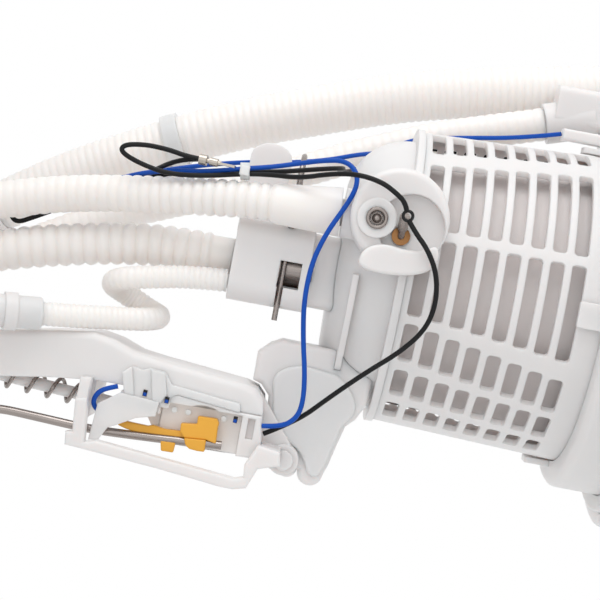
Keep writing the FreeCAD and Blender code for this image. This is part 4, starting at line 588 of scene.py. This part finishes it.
def swept(line, radii, sides, reference):
    """Grid of a tube: ring i is line[i] + radius[i] * (cos a * n + sin a * b), with n and b square
    to the line and n as near the reference direction as that allows."""
    tangent = unit(np.gradient(line, axis=0))
    reference = np.array(reference, float)
    normal = unit(reference - (tangent @ reference)[:, None] * tangent)
    beside = np.cross(tangent, normal)
    angle = np.linspace(0, 2 * math.pi, sides, endpoint=False)
    rings = (np.cos(angle)[None, :, None] * normal[:, None]
             + np.sin(angle)[None, :, None] * beside[:, None])
    return line[:, None] + np.asarray(radii)[:, None, None] * rings


def smooth_step(value, low, high):
    """0 up to low, 1 from high on, and 3 * share^2 - 2 * share^3 between them."""
    share = np.clip((value - low) / (high - low), 0, 1)
    return share * share * (3 - 2 * share)


def ribbed(along, rib):
    """Radius of a corrugated wall: wide round crests with narrow grooves between them, where the
    radius falls by depth * (1 - |cos(pi * along / pitch)| ** power). The depth goes from near to
    far along the hose."""
    depth = rib.near + (rib.far - rib.near) * smooth_step(along, *RIB_FADE)
    wave = np.abs(np.cos(math.pi * along / rib.pitch)) ** CREST_POWER
    return rib.crest - depth * (1 - wave)


def cuffed(along, radii, cuff):
    """Wall whose first stretch is a smooth cuff, a straight taper that runs into the ribs."""
    start, end, length = cuff
    taper = start + (end - start) * np.clip(along / length, 0, 1)
    share = smooth_step(along, length - CUFF_BLEND, length)
    return taper * (1 - share) + radii * share


def declare(piece, node, slot, exit_point, width, **facts):
    """Tie a hose or lead to the module, and hide the solid that it stands for."""
    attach(piece, "module")
    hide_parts(node)


def hose(node, route, rib, width, finish, cuff=None, samples=8, sides=32, reference=(1, 0, 0),
         **facts):
    """Corrugated hose in place of its solid, with some samples along each rib."""
    line, along = line_of(route, rib.pitch / samples)
    radii = ribbed(along, rib)
    if cuff:
        radii = cuffed(along, radii, cuff)
    name = node + "_ribbed"
    piece = link(name, grid_mesh(name, swept(line, radii, sides, reference)), finish)
    declare(piece, node, "hose_nylon", route[0], width, path=line.tolist(), **facts)


def make_hoses(finishes):
    """The four corrugated hoses."""
    nylon = finishes["hose"]
    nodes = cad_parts
    hose("outlet_hose", OUTLET_ROUTE, OUTLET_RIB, 0.012, nylon, cuff=OUTLET_CUFF, samples=10,
         length=0.44, far_end="object", stiffness="stiff")
    hose("return_hose", RETURN_ROUTE, RETURN_RIB, 0.0138, nylon, cuff=RETURN_CUFF, samples=10,
         sides=36, length=0.277, far_end="object", stiffness="stiff",
         with_pieces=[nodes["transfer_coupling"]])
    hose("transfer_hose", TRANSFER_ROUTE, TRANSFER_RIB, 0.0188, nylon, sides=44,
         reference=(0, 1, 0), length=0.235, far_end="connector", stiffness="stiff",
         with_pieces=[nodes["transfer_connector"], nodes["hose_strap"]])
    hose("jet_hose", JET_ROUTE, JET_RIB, 0.0076, nylon, sides=24, length=0.117,
         far_end="connector", stiffness="medium", with_pieces=[nodes["jet_connector"]])


def insulated(name, route, caps=True):
    """Curve of a lead: its route with a round section."""
    curve = route_curve(name, route)
    curve.bevel_depth = LEAD_RADIUS
    curve.bevel_resolution = LEAD_ROUNDNESS
    curve.use_fill_caps = caps
    return curve


def lead(name, node, route, finish, slot, length, pieces=()):
    """Lead that stays with the module, in place of its solid."""
    piece = link(name, insulated(name, route), finish)
    declare(piece, node, slot, route[0], LEAD_WIDTH, length=length, far_end="object",
            stiffness="limp", with_pieces=pieces)


def split(route, at):
    """Two routes that together draw one route's line, parted midway between two inner points."""
    middle = tuple((a + b) / 2 for a, b in zip(route[at - 1], route[at]))
    return route[:at] + [middle], [middle] + route[at:]


def flexing_end(name, node, route, finish, slot, fixed, moving):
    """Short end of a lead between the module and the sender's carrier, in place of its solid."""
    mesh = as_mesh(insulated("line", route, caps=False))
    mesh.name = name
    mesh.materials.clear()
    piece = link(name, mesh, finish)
    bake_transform(piece)
    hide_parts(node)


def make_leads(finishes):
    """The four leads, two of them with their short end as a piece of its own, and the sender's
    short tail.
    """
    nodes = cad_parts
    blue = (finishes["blue"], "blue_insulation")
    black = (finishes["black"], "black_insulation")
    blue_end, blue_run = split(BLUE_ROUTE, BLUE_PARTING)
    flexing_end("blue_lead_end", "blue_lead", blue_end, *blue, blue_end[-1], blue_end[0])
    lead("blue_lead_sender", "blue_lead", blue_run, *blue, length=0.43)
    earth_run, earth_end = split(EARTH_ROUTE, EARTH_PARTING)
    flexing_end("black_lead_end", "earth_lead", earth_end, *black, earth_end[0], earth_end[-1])
    lead("black_lead_earth", "earth_lead", earth_run, *black, length=0.082)
    lead("black_lead_tank", "tank_lead", TANK_ROUTE, *black, length=0.128,
         pieces=[nodes["crimp_terminal"], nodes["cable_tie"]])
    lead("black_lead_flange", "flange_lead", FLANGE_LEAD_ROUTE, *black, length=0.332)
    tail = link("blue_lead_tail", insulated("blue_lead_tail", TAIL_ROUTE), finishes["blue"])
    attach(tail, "sender_carrier")
    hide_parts("sender_tail")


def softened(outline, rounds=3):
    """Closed outline with its corners cut back to a smooth curve: each round puts two points on
    every side, a quarter and three quarters along."""
    corners = np.array(outline)
    for _ in range(rounds):
        after = np.roll(corners, -1, axis=0)
        corners = np.stack([0.75 * corners + 0.25 * after, 0.25 * corners + 0.75 * after], 1)
        corners = corners.reshape(-1, 2)
    return corners


def placed(piece, body, node):
    """Tie a rigid piece to its body, and hide the solid that it stands for, if any."""
    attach(piece, body)
    if node:
        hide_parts(node)
    return piece


def prism(name, outline, depth, finish, body, node=None, rounding=ROUNDING):
    """Flat piece: the outline's (X, Z) corners at Y = -rear and at Y = -front, a wall between
    them and rounded edges."""
    rear, front = depth
    corners = np.array(outline)
    count = len(corners)
    points = np.vstack([np.insert(corners, 1, -rear, axis=1),
                        np.insert(corners, 1, -front, axis=1)])
    around = np.arange(count)
    beside = (around + 1) % count
    wall = np.stack([around, beside, beside + count, around + count], -1).tolist()
    faces = [around[::-1].tolist(), (around + count).tolist()] + wall
    piece = link(name, new_mesh(name, points, faces), finish)
    edges = piece.modifiers.new("rounding", "BEVEL")
    edges.width = rounding
    edges.segments = ROUNDING_STEPS
    edges.harden_normals = True
    return placed(piece, body, node)


def lathe(name, profile, centre, finish, body, node=None, caps=True):
    """Round piece about an axis along Y through the centre's (X, Z): each (radius, Y) of the
    profile draws a circle X = x + radius * cos a, Z = z + radius * sin a."""
    profile = np.array(profile)
    radius = profile[:, :1]
    angle = np.linspace(0, 2 * math.pi, LATHE_SIDES, endpoint=False)
    grid = np.stack([centre[0] + radius * np.cos(angle),
                     np.repeat(profile[:, 1:], LATHE_SIDES, axis=1),
                     centre[1] + radius * np.sin(angle)], -1)
    return placed(link(name, grid_mesh(name, grid, caps), finish), body, node)


def make_holder(finishes):
    """Yellow float holder: a waved blade, an upright tab, a folded grip over the wire with its
    hook, and the shaft behind them."""
    on = (finishes["yellow"], "float_swing", "float_holder")
    made = [prism(name, outline, depth, *on) for name, (outline, *depth) in HOLDER_PIECES.items()]
    made.append(lathe("holder_shaft", HOLDER_SHAFT, HOLDER_AXIS, *on))


def make_small_parts(finishes):
    """Eyelet in the round boss, bare loop round the stud, hood, bracket step, and the front of
    the sender's housing with the lead seen through its slots and painted shade round the lead in
    each slot."""
    lathe("boss_eyelet", EYELET_PROFILE, EYELET_AXIS, finishes["steel"], "module", "boss_screw")
    turn = np.linspace(0, 2 * math.pi, LOOP_SIDES + 1)
    ring = np.stack([LOOP_RADIUS + LOOP_WIRE * np.cos(turn), LOOP_Y + LOOP_WIRE * np.sin(turn)], -1)
    lathe("stud_loop", ring, LOOP_AXIS, finishes["dark"], "module", caps=False)
    prism("boss_hood", softened(HOOD), HOOD_DEPTH, finishes["white"], "module",
          rounding=HOOD_ROUNDING)
    prism("bracket_step", softened(BRACKET_STEP), STEP_DEPTH, finishes["white"], "module",
          rounding=STEP_ROUNDING)
    prism("sender_front_band", FRONT_BAND, BAND_DEPTH, finishes["arm"], "sender_carrier")
    for count, rib in enumerate(FRONT_RIBS, 1):
        prism(f"sender_front_rib_{count}", rib, RIB_DEPTH, finishes["arm"], "sender_carrier")
    for count, (x, z, face) in enumerate(SENDER_SLOTS, 1):
        # Dark piece in each slot: painted shade round the lead, where the hollow would fall into
        # shadow
        prism(f"sender_slot_{count}", np.array(SLOT_SHADE_RIM) + (x, z), (face - SLOT_DEPTH, face),
              finishes["dark"], "sender_carrier", rounding=SLOT_ROUNDING)
        prism(f"sender_slot_lead_{count}", np.array(SLOT_LEAD) + (x, z),
              (face - SLOT_LEAD_DEPTH, face + SLOT_LEAD_PROUD), finishes["blue"],
              "sender_carrier", rounding=SLOT_ROUNDING)


def make_spring(finishes):
    """Foot spring: with turn angle a = 2 pi * turns * t, its line is seat + slope * (wire +
    length * t) + radius * (cos a * across + sin a * Y)."""
    slope = unit(np.array(SPRING_SLOPE))
    across = np.array([-slope[2], 0, slope[0]])
    share = np.linspace(0, 1, SPRING_STEPS * SPRING_TURNS)[:, None]
    angle = 2 * math.pi * SPRING_TURNS * share
    line = (np.array(SPRING_SEAT) + slope * (SPRING_WIRE + SPRING_LENGTH * share)
            + SPRING_RADIUS * (np.cos(angle) * across + np.sin(angle) * np.array([0, 1, 0])))
    grid = swept(line, np.full(len(line), SPRING_WIRE), SPRING_SIDES, slope)
    piece = link("foot_spring_coil", grid_mesh("foot_spring_coil", grid), finishes["steel"])
    placed(piece, "sender_carrier", "foot_spring")
    (-slope).tolist()
    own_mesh(piece)


def lamp(name, place, size, power):
    """Square lamp aimed at the middle of the module."""
    data = bpy.data.lights.new(name, "AREA")
    data.size = size
    data.energy = power
    made = bpy.data.objects.new(name, data)
    made.location = place
    aim = Vector((0, 0, AIM_Z)) - made.location
    made.rotation_euler = aim.to_track_quat("-Z", "Y").to_euler()
    bpy.context.scene.collection.objects.link(made)


def set_surround():
    """Even light on the object, and white where the camera, gloss or glass sees past it."""
    scene = bpy.context.scene
    scene.view_settings.view_transform = "Standard"
    scene.world = bpy.data.worlds.new("studio")
    scene.world.use_nodes = True
    tree = scene.world.node_tree
    glow = next(n for n in tree.nodes if n.type == "BACKGROUND")
    glow.inputs["Color"].default_value = (1, 1, 1, 1)
    path = tree.nodes.new("ShaderNodeLightPath")
    seen = path.outputs["Is Camera Ray"]
    for ray in ("Is Glossy Ray", "Is Transmission Ray"):
        either = tree.nodes.new("ShaderNodeMath")
        either.operation = "MAXIMUM"
        tree.links.new(seen, either.inputs[0])
        tree.links.new(path.outputs[ray], either.inputs[1])
        seen = either.outputs[0]
    level = tree.nodes.new("ShaderNodeMapRange")
    level.inputs["To Min"].default_value = AMBIENT
    level.inputs["To Max"].default_value = 1.0
    tree.links.new(seen, level.inputs["Value"])
    tree.links.new(level.outputs["Result"], glow.inputs["Strength"])


def make_floor():
    """Pale floor just below the module."""
    low = cad_low.z - FLOOR_GAP
    floor = bpy.data.meshes.new("floor")
    floor.from_pydata([(-FLOOR_REACH, -FLOOR_REACH, low), (FLOOR_REACH, -FLOOR_REACH, low),
                       (FLOOR_REACH, FLOOR_BEHIND, low), (-FLOOR_REACH, FLOOR_BEHIND, low)],
                      [], [(0, 1, 2, 3)])
    pale = Finish("floor_pale", Roughness=0.9)
    grain = pale.noise(scale=30, detail=2)
    pale.feed(Base_Color=pale.mix(grain, tone(0.92, 0.92, 0.92), tone(0.9, 0.9, 0.9)))
    link("floor", floor, pale.material)


set_camera()
finishes = make_finishes()
make_hoses(finishes)
make_leads(finishes)
make_holder(finishes)
make_spring(finishes)
make_small_parts(finishes)
dress_nodes(finishes)
set_surround()
for settings in LAMPS:
    lamp(*settings)
make_floor()

bpy.context.view_layer.update()
